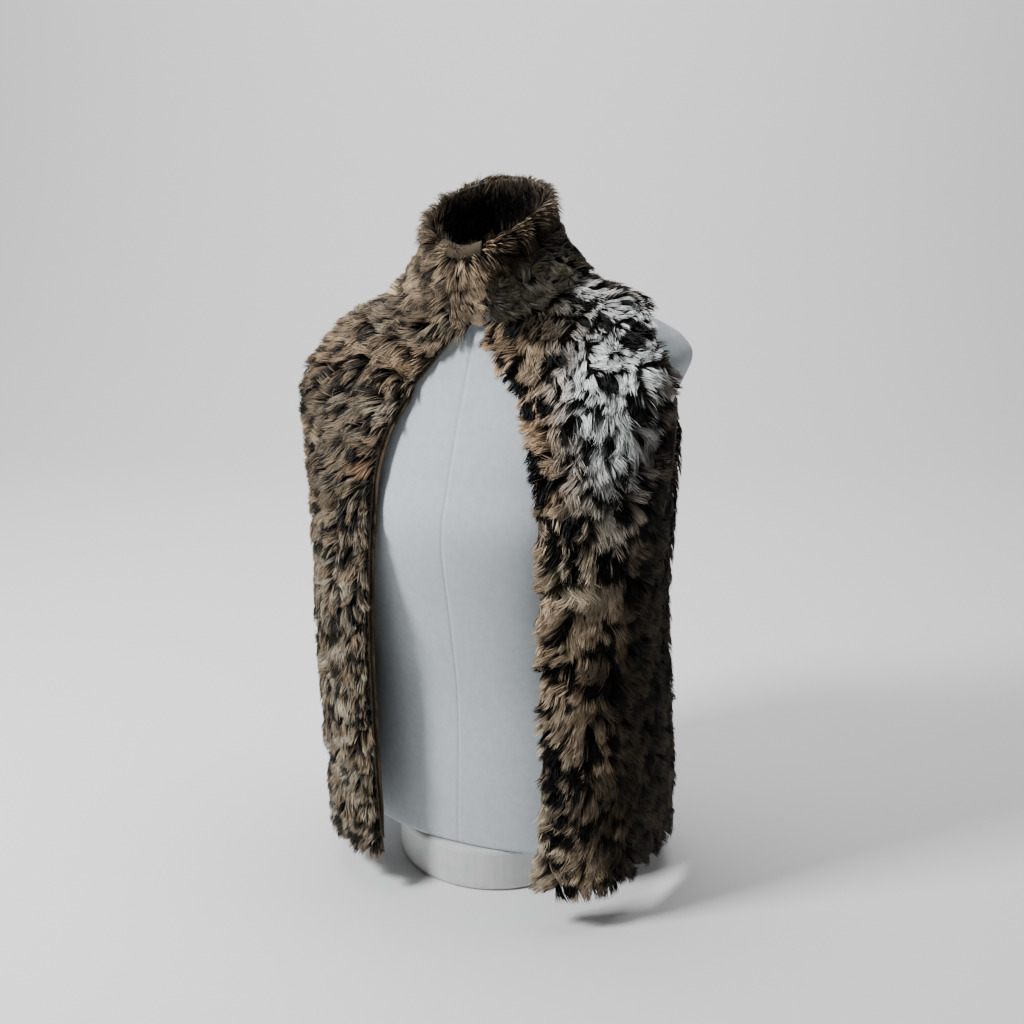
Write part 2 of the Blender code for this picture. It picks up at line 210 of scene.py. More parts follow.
# How much the tufts, their locks and single hairs differ: turn and bend as normal spreads, length,
# lift and lightness as factors from least to most
TUFT_TURN = 0.34
LOCK_TURN = 0.16
HAIR_TURN = 0.10
TUFT_BEND = 0.20
LOCK_BEND = 0.12
HAIR_BEND = 0.05
LOCK_LENGTHS = (0.86, 1.10)
HAIR_LENGTHS = (0.88, 1.04)
TUFT_LIFTS = (0.74, 1.02)
LOCK_LIFTS = (0.86, 1.04)
HAIR_LIFTS = (0.90, 1.02)
TUFT_LIGHTS = (0.74, 1.24)
LOCK_LIGHTS = (0.60, 1.36)
HAIR_LIGHTS = (0.74, 1.22)
HAIR_TWIST = 0.9

# Run of a hair: its rise and its way forth as first and second power of the share along it, how
# steeply it may stand, its least reach for its height, and how the pull to its lock sets in
HAIR_RISE = (1.75, -0.75)
HAIR_FORTH = (0.42, 0.58)
STEEPEST = 0.86
LEAST_REACH = 0.4
PULL_POWER = 1.2
TIP_REACH = 0.8

# Hairs along the lower border are pulled less, so that they hang over it
LOW_PULL = 0.45
LOW_PULL_UPS = 0.08

# Pale dyes get less of the dark root and its painted shade: the tones from which this holds, and by how
# much
PALE_TONES = (0.30, 0.60)
PALE_EASE = 0.5

# A hair's three faces among its seven points, where each face starts among them, and the points'
# places in the hair's own square of the chart
HAIR_POINTS = 7
HAIR_CORNERS = (0, 1, 3, 2, 2, 3, 5, 4, 4, 5, 6)
HAIR_FACE_STARTS = (0, 4, 8)
CHART_ACROSS = (0.2, 0.8, 0.2, 0.8, 0.2, 0.8, 0.5)
CHART_UP = (0.12, 0.12, 0.4, 0.4, 0.7, 0.7, 0.9)

# Hairs of each piece, and the seeds of their random draws; both halves of the back share one print
RIGHT_FRONT_HAIRS = 38000
LEFT_FRONT_HAIRS = 39000
BACK_HALF_HAIRS = 30000
COLLAR_HAIRS = 30000
COLLAR_INSIDE_HAIRS = 12000
RIGHT_FRONT_SEED = 7
LEFT_FRONT_SEED = 17
BACK_SEEDS = (27, 28)
COLLAR_SEED = 57
COLLAR_INSIDE_SEED = 67
LEFT_PRINT_SEED = 224
BACK_PRINT_SEED = 7

# Steps for directions on the cloth, in levels or radians and in shares
CLOTH_STEP = 0.01
SHARE_STEP = 0.004

# Places are tried this many times over, and kept by the cloth's area there up to this quantile of it
TRIES = 3.2
DENSEST = 0.995

# Points each way of the grid on which an area is measured, points along each border of a panel, and
# the radius that turns an angle into metres on the chart of the threads
AREA_GRID = 41
BORDER_POINTS = 121
CHART_RADIUS = 0.13

# How much of the pile's length is left at the front edge, at the hem, over the chest, at the collar's
# rim and round the armholes of the fronts and of the back; the ups between which an armhole starts and
# ends; the share past which no hair roots beside it; and where none roots under the tab, as a share of
# the tab's length and an up
FRONT_TRIM = 0.66
HEM_TRIM = 0.80
CHEST_TRIM = 0.72
RIM_TRIM = 0.75
ARMHOLE_TRIM = 0.64
BACK_ARMHOLE_TRIM = 0.55
ARMHOLE_STARTS = (0.48, 0.56)
ARMHOLE_ENDS = (0.82, 0.88)
ARMHOLE_CLEAR = 0.975
TAB_CLEAR_SHARE = 0.55
TAB_CLEAR_UP = 0.94

# Facing along the right front edge and the tab over the collar's end, as in the part
FACING_UPS = (1.0 / 26.0, 19.0 / 26.0)
FACING_SHARE = 1.0 / 12.0
FACING_SHOWS = 0.0045
FACING_WALL = 0.0015
FACING_TAPER = 0.08
FACING_POINTS = 151
STITCH_PITCH = 0.0026
STITCH_RADIUS = 0.00028
STITCH_LEAN = 0.0012
STITCH_MARGIN = 0.004
STITCH_SIDES = 4
TAB_SHARE = 5.0 / 46.0
TAB_WALL = 0.0015

# The tab's fold over the rim: points along it, the up below the rim that gives its upright direction,
# its rise and reach, how far it sinks onto the pile as a share of the rise, and its arc in degrees to
# either side with the points on it
TAB_POINTS = 25
TAB_BELOW = 0.97
TAB_RISE = 0.0075
TAB_REACH = 0.0078
TAB_SINK = 0.35
TAB_ARC = 104.0
TAB_ARC_POINTS = 21

# The facing's section: places in widths of what shows, inwards from the panel's edge, and how much of
# its wall is rounded off there; a stitch over its edge: outwards, off the cloth and ahead along the edge
FACING_ACROSS = ((-1.0, 0.55), (-0.92, 0.12), (-0.7, 0.0), (0.0, 0.0), (4.0, 0.0), (8.0, 0.0))
STITCH_PATH = (
    (-0.2, 0.4, 0.9),
    (0.45, 0.45, 0.5),
    (1.0, 0.2, 0.15),
    (1.12, -0.9, 0.0),
    (1.0, -1.9, -0.1),
    (0.2, -2.1, -0.5),
)

# Dyes of the fur, linear. The chest's white also holds a painted highlight, the olive is partly darker
# fur and partly painted shade, and the dark is the spots' dye and also painted shade inside the collar
# White of the chest: partly the fur's pale tone, partly a painted highlight
CHEST_WHITE_AND_HIGHLIGHT = (0.78, 0.80, 0.80)
CREAM = (0.58, 0.50, 0.37)
BEIGE = (0.36, 0.265, 0.172)
LIGHT_TAN = (0.56, 0.385, 0.235)
TAN = (0.34, 0.185, 0.095)
GREY_BROWN = (0.135, 0.100, 0.068)
OLIVE_AND_PAINTED_SHADE = (0.028, 0.022, 0.012)
DARK = (0.0035, 0.0028, 0.0026)
PRINT_RADIUS = 0.165

# Clouds of tone: how many waves make one, how their lengths differ, and their height
CLOUD_WAVES = 7
CLOUD_LENGTHS = (0.6, 1.5)
CLOUD_HEIGHT = 0.32

# Leopard print: its pitch, how close its lines lie, how far it starts outside the sheet and strays,
# the ring on which one to three blobs lie, the turn from blob to blob and its spread, the blobs' half
# axes, and the small spots that lie between some rings
PITCH = 0.041
BACK_PITCH = 0.038
LINE_PITCH = 0.84
PRINT_MARGIN = 0.02
PRINT_STRAY = 0.006
RING_RADII = (0.28, 0.36)
MOST_BLOBS = 3
BLOB_TURN = 1.43
BLOB_TURN_SPREAD = 0.22
BLOB_LENGTHS = (0.0075, 0.0115)
BLOB_WIDTHS = (0.0045, 0.0065)
BETWEEN_SHARE = 0.5
BETWEEN_PLACE = (0.5, 0.42)
BETWEEN_STRAY = 0.003
BETWEEN_LENGTHS = (0.004, 0.006)
BETWEEN_WIDTH = 0.0038
SPOT_EDGE = (-0.14, 0.12)
PLACES_AT_ONCE = 4000

# Patches of the fronts: tone, amount, degrees from the centre front, height, half width in degrees
# and half height
LEFT_CREAM_PATCH = (CREAM, 0.9, 46.0, 0.360, 12.0, 0.060)
# Painted shade on the left front below the collar
LEFT_COLLAR_PAINTED_SHADE = (OLIVE_AND_PAINTED_SHADE, 1.5, 38.0, 0.590, 24.0, 0.036)
RIGHT_PATCHES = (
    (TAN, 0.75, -36.0, 0.432, 6.0, 0.016),
    (LIGHT_TAN, 1.0, -38.0, 0.525, 9.0, 0.018),
    (CREAM, 0.8, -36.0, 0.490, 7.0, 0.014),
    (LIGHT_TAN, 0.7, -66.0, 0.530, 14.0, 0.020),
)

# Woven cloths: colour, darker colour, pitch of the threads, depth of the relief, roughness and the
# slow change of tone
Weave = namedtuple("Weave", "colour dark pitch depth roughness cloud")
FORM_CLOTH = Weave((0.56, 0.61, 0.645), (0.47, 0.515, 0.55), 0.0011, 0.0004, 0.8, (0.90, 0.91, 0.90))
KNIT = Weave((0.15, 0.125, 0.095), (0.07, 0.055, 0.04), 0.0016, 0.0005, 0.9, (0.85, 0.85, 0.85))
TWILL = Weave((0.070, 0.052, 0.028), (0.038, 0.027, 0.014), 0.0010, 0.0004, 0.75, (0.85, 0.82, 0.8))
THREAD = Weave((0.12, 0.082, 0.048), (0.06, 0.042, 0.025), 0.0008, 0.0002, 0.6, (0.9, 0.9, 0.9))

# Bands of the wave texture in one unit at scale one, and the two tones of the foot
WAVE_BANDS = 3.18
ENAMEL_DARK = (0.56, 0.565, 0.57)
ENAMEL_LIGHT = (0.64, 0.64, 0.64)

# Flat sizes of the cloths, width and length
FRONT_FLAT = (0.19, 0.56)
BACK_FLAT = (0.50, 0.60)
COLLAR_FLAT = (0.46, 0.13)

# What a piece of fur is told by: which way it lies, its colouring with painted shade and highlight in it,
# where hairs root and how it is trimmed.
# What a panel is told by: its name, its run of angles, the share at which its cloth starts, its
# columns and flat size, its coat, and the name, shares, hairs and seed of each piece of its pile
Coat = namedtuple("Coat", "nap dye keep trim")
Job = namedtuple("Job", "name angles_at start columns flat coat furs")
WHOLE = (0.0, 1.0)


def table_at(table, levels):
    """The columns of a table at levels between its rows, on smooth curves through the rows."""
    numbers = np.array([row[1:] for row in table], float)
    last = len(numbers) - 1
    levels = np.clip(np.asarray(levels, float), 0.0, last)
    index = np.minimum(levels.astype(int), last - 1)
    share = (levels - index)[..., None]
    before = numbers[np.maximum(index - 1, 0)]
    start = numbers[index]
    end = numbers[index + 1]
    after = numbers[np.minimum(index + 2, last)]
    leave = np.where((index > 0)[..., None], 0.5 * (end - before), end - start)
    arrive = np.where((index < last - 1)[..., None], 0.5 * (after - start), end - start)
    square = share * share
    cube = square * share
    return (
        (2.0 * cube - 3.0 * square + 1.0) * start
        + (cube - 2.0 * square + share) * leave
        + (3.0 * square - 2.0 * cube) * end
        + (cube - square) * arrive
    )


def signed_power(values):
    """Values raised to the rings' roundness, with their signs kept."""
    return np.sign(values) * np.abs(values) ** ROUNDNESS


def smooth_step(low, high, values):
    """Zero below low, one above high, and smooth between."""
    share = np.clip((values - low) / (high - low), 0.0, 1.0)
    return share * share * (3.0 - 2.0 * share)


def unit(vectors):
    """Vectors brought to length one."""
    return vectors / np.maximum(np.linalg.norm(vectors, axis=-1, keepdims=True), 1.0e-9)


def ring_points(half_width, front, back, height, angle):
    """Points of rings, the angle in radians from the centre front towards the wearer's left."""
    depth = np.where(np.cos(angle) > 0.0, front, back)
    x = half_width * signed_power(np.sin(angle))
    y = -depth * signed_power(np.cos(angle))
    return np.stack(np.broadcast_arrays(x, y, TORSO_BASE + height), -1)


def left_lift(rise, neck_rise, spread, levels, half_width, angles):
    """How far the left shoulder stands up, on rings of a half width."""
    low, high = LIFT_WIDTHS
    share = np.clip((half_width - low) / (high - low), 0.0, 1.0)
    height = neck_rise + (rise - neck_rise) * share
    return height * smooth_step(*spread, levels) * np.maximum(np.sin(angles), 0.0) ** 2


def fold_heights(levels, angles):
    """How far the folds lift the cloth."""
    lift = np.zeros(np.broadcast(levels, angles).shape)
    for _, middle, spread, rise, top in FOLDS:
        turn = (np.degrees(angles) - middle + 180.0) % 360.0 - 180.0
        wave = rise * np.cos(np.radians(45.0 * turn / spread)) ** 2 * (1.0 - levels / top)
        lift += np.where((np.abs(turn) < 2.0 * spread) & (levels < top), wave, 0.0)
    return lift


def vest_points(levels, angles):
    """Points of the vest's inner face."""
    rows = table_at(VEST_ROWS, levels)
    half_width = np.where(np.sin(angles) > 0.0, rows[..., 2], rows[..., 1])
    lift = left_lift(VEST_LIFT, NECK_LIFT, VEST_LIFT_LEVELS, levels, half_width, angles)
    points = ring_points(half_width, rows[..., 3], rows[..., 4], rows[..., 0] + lift, angles)
    fold = fold_heights(levels, angles)
    points[..., 0] += fold * np.sin(angles)
    points[..., 1] -= fold * np.cos(angles)
    return points


def vest_axes(levels, angles):
    """Outward, across and down directions of the vest's cloth."""
    up = vest_points(levels + CLOTH_STEP, angles) - vest_points(levels - CLOTH_STEP, angles)
    across = unit(vest_points(levels, angles + CLOTH_STEP) - vest_points(levels, angles - CLOTH_STEP))
    normals = unit(np.cross(across, up))
    return normals, across, unit(np.cross(across, normals))


def neck_levels(angles):
    """The level of the neck seam, lower at the centre front."""
    drop = np.maximum(np.cos(angles), 0.0) ** NECK_DROP_POWER
    return NECK_LEVEL - (NECK_LEVEL - NECK_FRONT_LEVEL) * drop


def front_angles(side, levels, shares):
    """Angles on a front panel, the share running from its front edge to its side."""
    rows = table_at(VEST_ROWS, levels)
    half_width = rows[..., 2] if side > 0 else rows[..., 1]
    across = rows[..., 6] if side > 0 else rows[..., 5]
    edge = np.sign(across) * np.arcsin((np.abs(across) / half_width) ** (1.0 / ROUNDNESS))
    end = side * np.radians(np.minimum(rows[..., 9] if side > 0 else rows[..., 7], SIDE))
    return edge + (end - edge) * shares


def right_front_angles(levels, shares):
    """Angles on the right front panel."""
    return front_angles(-1, levels, shares)


def left_front_angles(levels, shares):
    """Angles on the left front panel."""
    return front_angles(1, levels, shares)


def back_angles(levels, shares):
    """Angles on the back panel, from the wearer's left side round to the right."""
    rows = table_at(VEST_ROWS, levels)
    left = np.radians(np.maximum(rows[..., 10], SIDE))
    right = np.radians(360.0 - np.maximum(rows[..., 8], SIDE))
    return left + (right - left) * shares


class Panel:
    """A panel of the vest: where its cloth lies, and which way it faces."""

    backing = BACKING

    def __init__(self, angles_at):
        self.angles_at = angles_at

    def place(self, shares, ups):
        """Levels and angles, the ups running from the hem to the neck seam."""
        shares, ups = np.broadcast_arrays(np.asarray(shares, float), np.asarray(ups, float))
        top = neck_levels(self.angles_at(np.full(shares.shape, NECK_FRONT_LEVEL), shares))
        levels = top * ups
        return levels, self.angles_at(levels, shares)

    def points(self, shares, ups):
        """Points of the inner face."""
        return vest_points(*self.place(shares, ups))

    def axes(self, shares, ups):
        """Outward, across and down directions."""
        return vest_axes(*self.place(shares, ups))

    def thickness(self, points):
        """How thick the fur is at points, rounding off towards the free borders."""
        along = np.linspace(0.0, 1.0, BORDER_POINTS)
        border = [self.points(along, 0.0)]
        for share in (0.0, 1.0):
            _, angles = self.place(share, along)
            edge = self.points(share, along)
            border.append(edge[np.abs(np.cos(angles)) > 1.0e-6])
        distance = nearest(points, np.concatenate(border))[1]
        share = 1.0 - np.minimum(distance / EDGE_ROUND, 1.0)
        return EDGE_REACH + (PILE_REACH - EDGE_REACH) * np.sqrt(1.0 - share * share)


class Collar:
    """The collar's cloth, in the middle of its wall; its pile stands on both sides."""

    backing = 0.5 * COLLAR_BACKING

    def __init__(self, outside):
        self.facing = 1.0 if outside else -1.0

    def points(self, shares, ups):
        """Points, the shares running from the right front end to the left, the ups to the top."""
        shares, ups = np.broadcast_arrays(np.asarray(shares, float), np.asarray(ups, float))
        right_end = float(right_front_angles(np.array(NECK_FRONT_LEVEL), 0.0))
        left_end = float(left_front_angles(np.array(NECK_FRONT_LEVEL), 0.0))
        stops = (right_end, -0.5 * math.pi, -1.5 * math.pi, left_end - 2.0 * math.pi)
        angles = np.interp(shares, (0.0, *COLLAR_SIDES, 1.0), stops)
        levels = neck_levels(angles)
        normals = vest_axes(levels, angles)[0]
        ends = np.clip(np.minimum(shares, 1.0 - shares) / COLLAR_END_SHARE, 0.0, 1.0)
        reach = 0.5 * (EDGE_REACH + (PILE_REACH - EDGE_REACH) * np.sqrt(ends))
        base = vest_points(levels, angles) + normals * reach[..., None]
        turn = COLLAR_OPENING_ANGLE - COLLAR_END_GAP - (360.0 - 2.0 * COLLAR_END_GAP) * shares
        turn = np.radians(turn)
        rise = (COLLAR_BACK_TOP - COLLAR_FRONT_TOP) * (0.5 - 0.5 * np.cos(turn)) ** COLLAR_TOP_POWER
        outward = 0.5 * COLLAR_WALL
        x = COLLAR_HALF_WIDTH * signed_power(np.sin(turn)) + outward * np.sin(turn) + COLLAR_CENTRE[0]
        y = -COLLAR_HALF_DEPTH * signed_power(np.cos(turn)) - outward * np.cos(turn) + COLLAR_CENTRE[1]
        top = np.stack([x, y, TORSO_BASE + COLLAR_FRONT_TOP + rise - RIM_DROP], -1)
        ease = (ups * (2.0 - ups))[..., None]
        points = base + (top - base) * ease
        points[..., 2] = base[..., 2] + (top[..., 2] - base[..., 2]) * ups
        return points

    def axes(self, shares, ups):
        """Outward, across and down directions; outward turns up over the rim."""
        across = unit(self.points(shares - SHARE_STEP, ups) - self.points(shares + SHARE_STEP, ups))
        up = unit(self.points(shares, ups + SHARE_STEP) - self.points(shares, ups - SHARE_STEP))
        normals = unit(np.cross(across, up)) * self.facing
        tilt = 0.5 * math.pi * smooth_step(COLLAR_TURN_UP, 1.0, np.asarray(ups))[..., None]
        out = normals * np.cos(tilt) + up * np.sin(tilt)
        return out, across, -up * np.cos(tilt) + normals * np.sin(tilt)

    def thickness(self, points):
        """How thick the fur is."""
        share = smooth_step(*COLLAR_FULL_HEIGHTS, points[..., 2] - TORSO_BASE)
        return 0.5 * (PILE_REACH + (COLLAR_WALL - PILE_REACH) * share)


def nearest(points, others):
    """Index of the nearest of the others to each point, and its distance."""
    tree = KDTree(len(others))
    for index, other in enumerate(others):
        tree.insert(other, index)
    tree.balance()
    found = [tree.find(point) for point in points]
    return np.array([item[1] for item in found]), np.array([item[2] for item in found])


def scatter(surface, count, limits, random):
    """Shares and ups spread evenly over a surface's area."""
    tries = int(count * TRIES)
    shares = random.uniform(*limits[0], tries)
    ups = random.uniform(*limits[1], tries)
    across = surface.points(shares + SHARE_STEP, ups) - surface.points(shares - SHARE_STEP, ups)
    up = surface.points(shares, ups + SHARE_STEP) - surface.points(shares, ups - SHARE_STEP)
    area = np.linalg.norm(np.cross(across, up), axis=-1)
    kept = random.uniform(0.0, np.quantile(area, DENSEST), tries) < area
    return shares[kept][:count], ups[kept][:count]


def surface_area(surface, limits):
    """Area of a surface between limits."""
    shares = np.linspace(*limits[0], AREA_GRID)[None, :]
    ups = np.linspace(*limits[1], AREA_GRID)[:, None]
    points = surface.points(shares, ups)
    one = points[:-1, 1:] - points[:-1, :-1]
    two = points[1:, :-1] - points[:-1, :-1]
    return float(np.linalg.norm(np.cross(one, two), axis=-1).sum())


def seeds(surface, spacing, limits, random):
    """Roots of the locks or tufts that hairs gather into, about one to a square of a spacing."""
    count = int(surface_area(surface, limits) / spacing ** 2)
    shares, ups = scatter(surface, count, limits, random)
    return surface.points(shares, ups) + surface.axes(shares, ups)[0] * surface.backing


def waves(points, scale, random):
    """Smooth noise between about -1 and 1 at points."""
    total = np.zeros(len(points))
    for _ in range(CLOUD_WAVES):
        direction = unit(random.normal(size=3))
        phase = points @ direction * (2.0 * math.pi / scale) * random.uniform(*CLOUD_LENGTHS)
        total += np.sin(phase + random.uniform(0.0, 2.0 * math.pi))
    return total * CLOUD_HEIGHT


def link(item):
    """Puts an object into the scene."""
    bpy.context.scene.collection.objects.link(item)
    return item


def new_mesh(name, points, faces):
    """Smooth mesh object with its faces turned outwards."""
    mesh = bpy.data.meshes.new(name)
    corners = [[int(index) for index in face] for face in faces]
    mesh.from_pydata(np.asarray(points).reshape(-1, 3).tolist(), [], corners)
    body = bmesh.new()
    body.from_mesh(mesh)
    bmesh.ops.recalc_face_normals(body, faces=body.faces)
    body.to_mesh(mesh)
    body.free()
    mesh.shade_smooth()
    return link(bpy.data.objects.new(name, mesh))


def wall_between(name, inner, outer):
    """Closed wall between two grids of points."""
    rows, columns = inner.shape[:2]
    count = rows * columns
    index = np.arange(count).reshape(rows, columns)
    ring = (index[:-1, :-1], index[:-1, 1:], index[1:, 1:], index[1:, :-1])
    quads = np.stack(ring, -1).reshape(-1, 4)
    border = np.concatenate([index[0, :], index[1:, -1], index[-1, -2::-1], index[-2:0:-1, 0]])
    after = np.roll(border, -1)
    rim = np.stack([after, border, border + count, after + count], -1)
    faces = np.concatenate([quads, quads[:, ::-1] + count, rim])
    return new_mesh(name, np.concatenate([inner.reshape(-1, 3), outer.reshape(-1, 3)]), faces)


def backing_of(name, surface, limits, rows, columns, wall):
    """Thin closed cloth on a surface."""
    shares = np.linspace(*limits[0], columns + 1)[None, :]
    ups = np.linspace(*limits[1], rows + 1)[:, None]
    shares, ups = np.broadcast_arrays(shares, ups)
    inner = surface.points(shares, ups)
    normals = surface.axes(shares, ups)[0]
    return wall_between(name, inner, inner + normals * wall)


def curve(weights, share):
    """Height of a curve given by its first and second power."""
    first, second = weights
    return first * share + second * share * share


def steepness(weights, share):
    """Slope of the same curve."""
    first, second = weights
    return first + 2.0 * second * share


def hair_points(roots, pull, normals, direction, height, reach, bend, twist):
    """Seven points a hair: a pair at each station that has a width, and the tip."""
    sideways = np.cross(normals, direction)
    places = []
    for share, width in STATIONS:
        rise = height * curve(HAIR_RISE, share)
        forth = reach * curve(HAIR_FORTH, share)
        centre = roots + pull * share ** PULL_POWER + normals * rise[:, None] + direction * forth[:, None]
        centre = centre + sideways * (bend * share * share)[:, None]
        if width == 0.0:
            places.append(centre)
            continue
        slope = normals * (height * steepness(HAIR_RISE, share))[:, None]
        slope = unit(slope + direction * (reach * steepness(HAIR_FORTH, share))[:, None])
        flat = unit(np.cross(slope, normals))
        steep = np.cross(flat, slope)
        half = flat * np.cos(twist)[:, None] + steep * np.sin(twist)[:, None]
        half = half * (0.5 * HAIR_WIDTH * width)
        places += [centre - half, centre + half]
    return np.stack(places, 1)


def hair_colours(colour):
    """Colours of a hair's seven points, light at the tip and dark at the root, the dark partly painted
    shade between the locks.
    """
    shades = [shade for shade, (_, width) in zip(HAIR_TONES_WITH_PAINTED_SHADE, STATIONS) for _ in range(2 if width else 1)]
    pale = smooth_step(*PALE_TONES, colour.min(axis=1))
    power = 1.0 - PALE_EASE * pale[:, None]
    return colour[:, None, :] * (np.array(shades)[None, :] ** power)[:, :, None]


def grow(name, surface, count, limits, coat, pile, random):
    """One joined mesh of tapering hairs that gather into pointed locks and tufts over a surface."""
    shares, ups = scatter(surface, count, limits, random)
    kept = coat.keep(shares, ups)
    shares = shares[kept]
    ups = ups[kept]
    count = len(shares)
    ground = surface.points(shares, ups)
    normals, across, down = surface.axes(shares, ups)
    roots = ground + normals * surface.backing
    room = surface.thickness(ground) - surface.backing
    lock_roots = seeds(surface, LOCK_SPACING, limits, random)
    lock = nearest(roots, lock_roots)[0]
    tuft_roots = seeds(surface, TUFT_SPACING, limits, random)
    tuft = nearest(lock_roots, tuft_roots)[0]
    locks = len(lock_roots)
    tufts = len(tuft_roots)
    turn = random.normal(0.0, TUFT_TURN, tufts)[tuft] + random.normal(0.0, LOCK_TURN, locks)
    turn = turn[lock] + random.normal(0.0, HAIR_TURN, count)
    angle = np.arctan2(*coat.nap(ground, shares, ups)) + turn
    direction = across * np.sin(angle)[:, None] + down * np.cos(angle)[:, None]
    length = pile * random.uniform(*LOCK_LENGTHS, locks)[lock] * random.uniform(*HAIR_LENGTHS, count)
    length = length * coat.trim(shares, ups)
    lift = random.uniform(*TUFT_LIFTS, tufts)[tuft] * random.uniform(*LOCK_LIFTS, locks)
    height = np.minimum(room * lift[lock] * random.uniform(*HAIR_LIFTS, count), STEEPEST * length)
    reach = np.sqrt(np.maximum(length ** 2 - height ** 2, (LEAST_REACH * height) ** 2))
    bend = random.normal(0.0, TUFT_BEND, tufts)[tuft] + random.normal(0.0, LOCK_BEND, locks)
    bend = reach * (bend[lock] + random.normal(0.0, HAIR_BEND, count))
    pull = (lock_roots[lock] - roots) * CLUMP + (tuft_roots[tuft] - lock_roots)[lock] * TUFT_CLUMP
    pull = pull * (LOW_PULL + (1.0 - LOW_PULL) * smooth_step(0.0, LOW_PULL_UPS, ups))[:, None]
    twist = random.uniform(-HAIR_TWIST, HAIR_TWIST, count)
    tips = roots + pull + normals * height[:, None] + direction * (reach * TIP_REACH)[:, None]
    colour = coat.dye(tips, shares, ups, random)
    light = random.uniform(*TUFT_LIGHTS, tufts)[tuft] * random.uniform(*LOCK_LIGHTS, locks)
    colour = colour * (light[lock] * random.uniform(*HAIR_LIGHTS, count))[:, None]
    places = hair_points(roots, pull, normals, direction, height, reach, bend, twist)
    return hair_object(name, places, hair_colours(colour))


def hair_object(name, places, colours):
    """Object from the points and colours of its hairs."""
    count = len(places)
    hairs = np.arange(count)
    corners = np.array(HAIR_CORNERS)
    mesh = bpy.data.meshes.new(name)
    mesh.vertices.add(count * HAIR_POINTS)
    mesh.vertices.foreach_set("co", places.reshape(-1).astype(np.float32))
    loops = (hairs[:, None] * HAIR_POINTS + corners).reshape(-1)
    mesh.loops.add(len(loops))
    mesh.loops.foreach_set("vertex_index", loops.astype(np.int32))
    mesh.polygons.add(count * len(HAIR_FACE_STARTS))
    starts = (hairs[:, None] * len(corners) + np.array(HAIR_FACE_STARTS)).reshape(-1)
    mesh.polygons.foreach_set("loop_start", starts.astype(np.int32))
    mesh.update(calc_edges=True)
    mesh.shade_smooth()
    # The stored colours hold the dye together with painted shade and a painted highlight
    layer = mesh.attributes.new("dye", "FLOAT_COLOR", "POINT")
    four = np.ones((count * HAIR_POINTS, 4), np.float32)
    four[:, :3] = colours.reshape(-1, 3)
    layer.data.foreach_set("color", four.reshape(-1))
    side = math.ceil(math.sqrt(count))
    left = (hairs % side) / side
    low = (hairs // side) / side
    across = np.array(CHART_ACROSS)[corners] / side
    up = np.array(CHART_UP)[corners] / side
    chart = np.stack([left[:, None] + across, low[:, None] + up], -1)
    mesh.uv_layers.new(name="OFBake").uv.foreach_set("vector", chart.reshape(-1).astype(np.float32))
    return link(bpy.data.objects.new(name, mesh))


def print_spots(width, height, pitch, random):
    """Dark blobs of a common leopard print over a sheet: centre, half axes and turn."""
    spots = []
    lines = int((height + 2.0 * PRINT_MARGIN) / (pitch * LINE_PITCH)) + 1
    columns = int((width + 2.0 * PRINT_MARGIN) / pitch) + 2
    for line in range(lines):
        for column in range(columns):
            u = pitch * (column + 0.5 * (line % 2)) - PRINT_MARGIN
            v = pitch * LINE_PITCH * line - PRINT_MARGIN
            centre = np.array([u, v]) + random.normal(0.0, PRINT_STRAY, 2)
            start = random.uniform(0.0, 2.0 * math.pi)
            radius = pitch * random.uniform(*RING_RADII)
            for blob in range(random.integers(1, MOST_BLOBS + 1)):
                turn = start + blob * BLOB_TURN + random.normal(0.0, BLOB_TURN_SPREAD)
                spot = centre + radius * np.array([math.cos(turn), math.sin(turn)])
                long = random.uniform(*BLOB_LENGTHS)
                short = random.uniform(*BLOB_WIDTHS)
                spots.append((*spot, long, short, turn + 0.5 * math.pi))
            if random.uniform() < BETWEEN_SHARE:
                spot = centre + np.array(BETWEEN_PLACE) * pitch + random.normal(0.0, BETWEEN_STRAY, 2)
                long = random.uniform(*BETWEEN_LENGTHS)
                spots.append((*spot, long, BETWEEN_WIDTH, random.uniform(0.0, math.pi)))
    return np.array(spots)


def spot_amount(u, v, spots, size):
    """How far each place lies inside the dark blobs, from 0 to 1."""
    inside = np.full(len(u), -9.0)
    size = np.broadcast_to(size, len(u))
    cos = np.cos(spots[:, 4])
    sin = np.sin(spots[:, 4])
    for low in range(0, len(u), PLACES_AT_ONCE):
        part = slice(low, low + PLACES_AT_ONCE)
        du = u[part, None] - spots[:, 0]
        dv = v[part, None] - spots[:, 1]
        along = (du * cos + dv * sin) / spots[:, 2]
        across = (dv * cos - du * sin) / spots[:, 3]
        inside[part] = (size[part, None] - np.sqrt(along ** 2 + across ** 2)).max(1)
    return smooth_step(*SPOT_EDGE, inside)


def blend(colours, tone, amount):
    """Colours mixed with one tone."""
    amount = np.clip(amount, 0.0, 1.0)[:, None]
    return colours * (1.0 - amount) + np.array(tone) * amount


def patch(angles, heights, angle, height, wide, tall):
    """Soft oval patch of the front, placed in degrees and metres."""
    return np.exp(-((angles - angle) / wide) ** 2 - ((heights - height) / tall) ** 2)


def add_patch(colours, angles, heights, tone, amount, *where):
    """Colours with one patch of a tone on them."""
    return blend(colours, tone, amount * patch(angles, heights, *where))


def ground_tone(count, amount):
    """Beige, greyed by an amount."""
    return blend(np.tile(BEIGE, (count, 1)), GREY_BROWN, amount)


def around(points):
    """Angles in degrees from the centre front, and heights."""
    return np.degrees(np.arctan2(points[:, 0], -points[:, 1])), points[:, 2]


def on_print(points):
    """Places on the printed sheet: metres round the body, and up it."""
    return np.arctan2(points[:, 0], -points[:, 1]) * PRINT_RADIUS, points[:, 2]


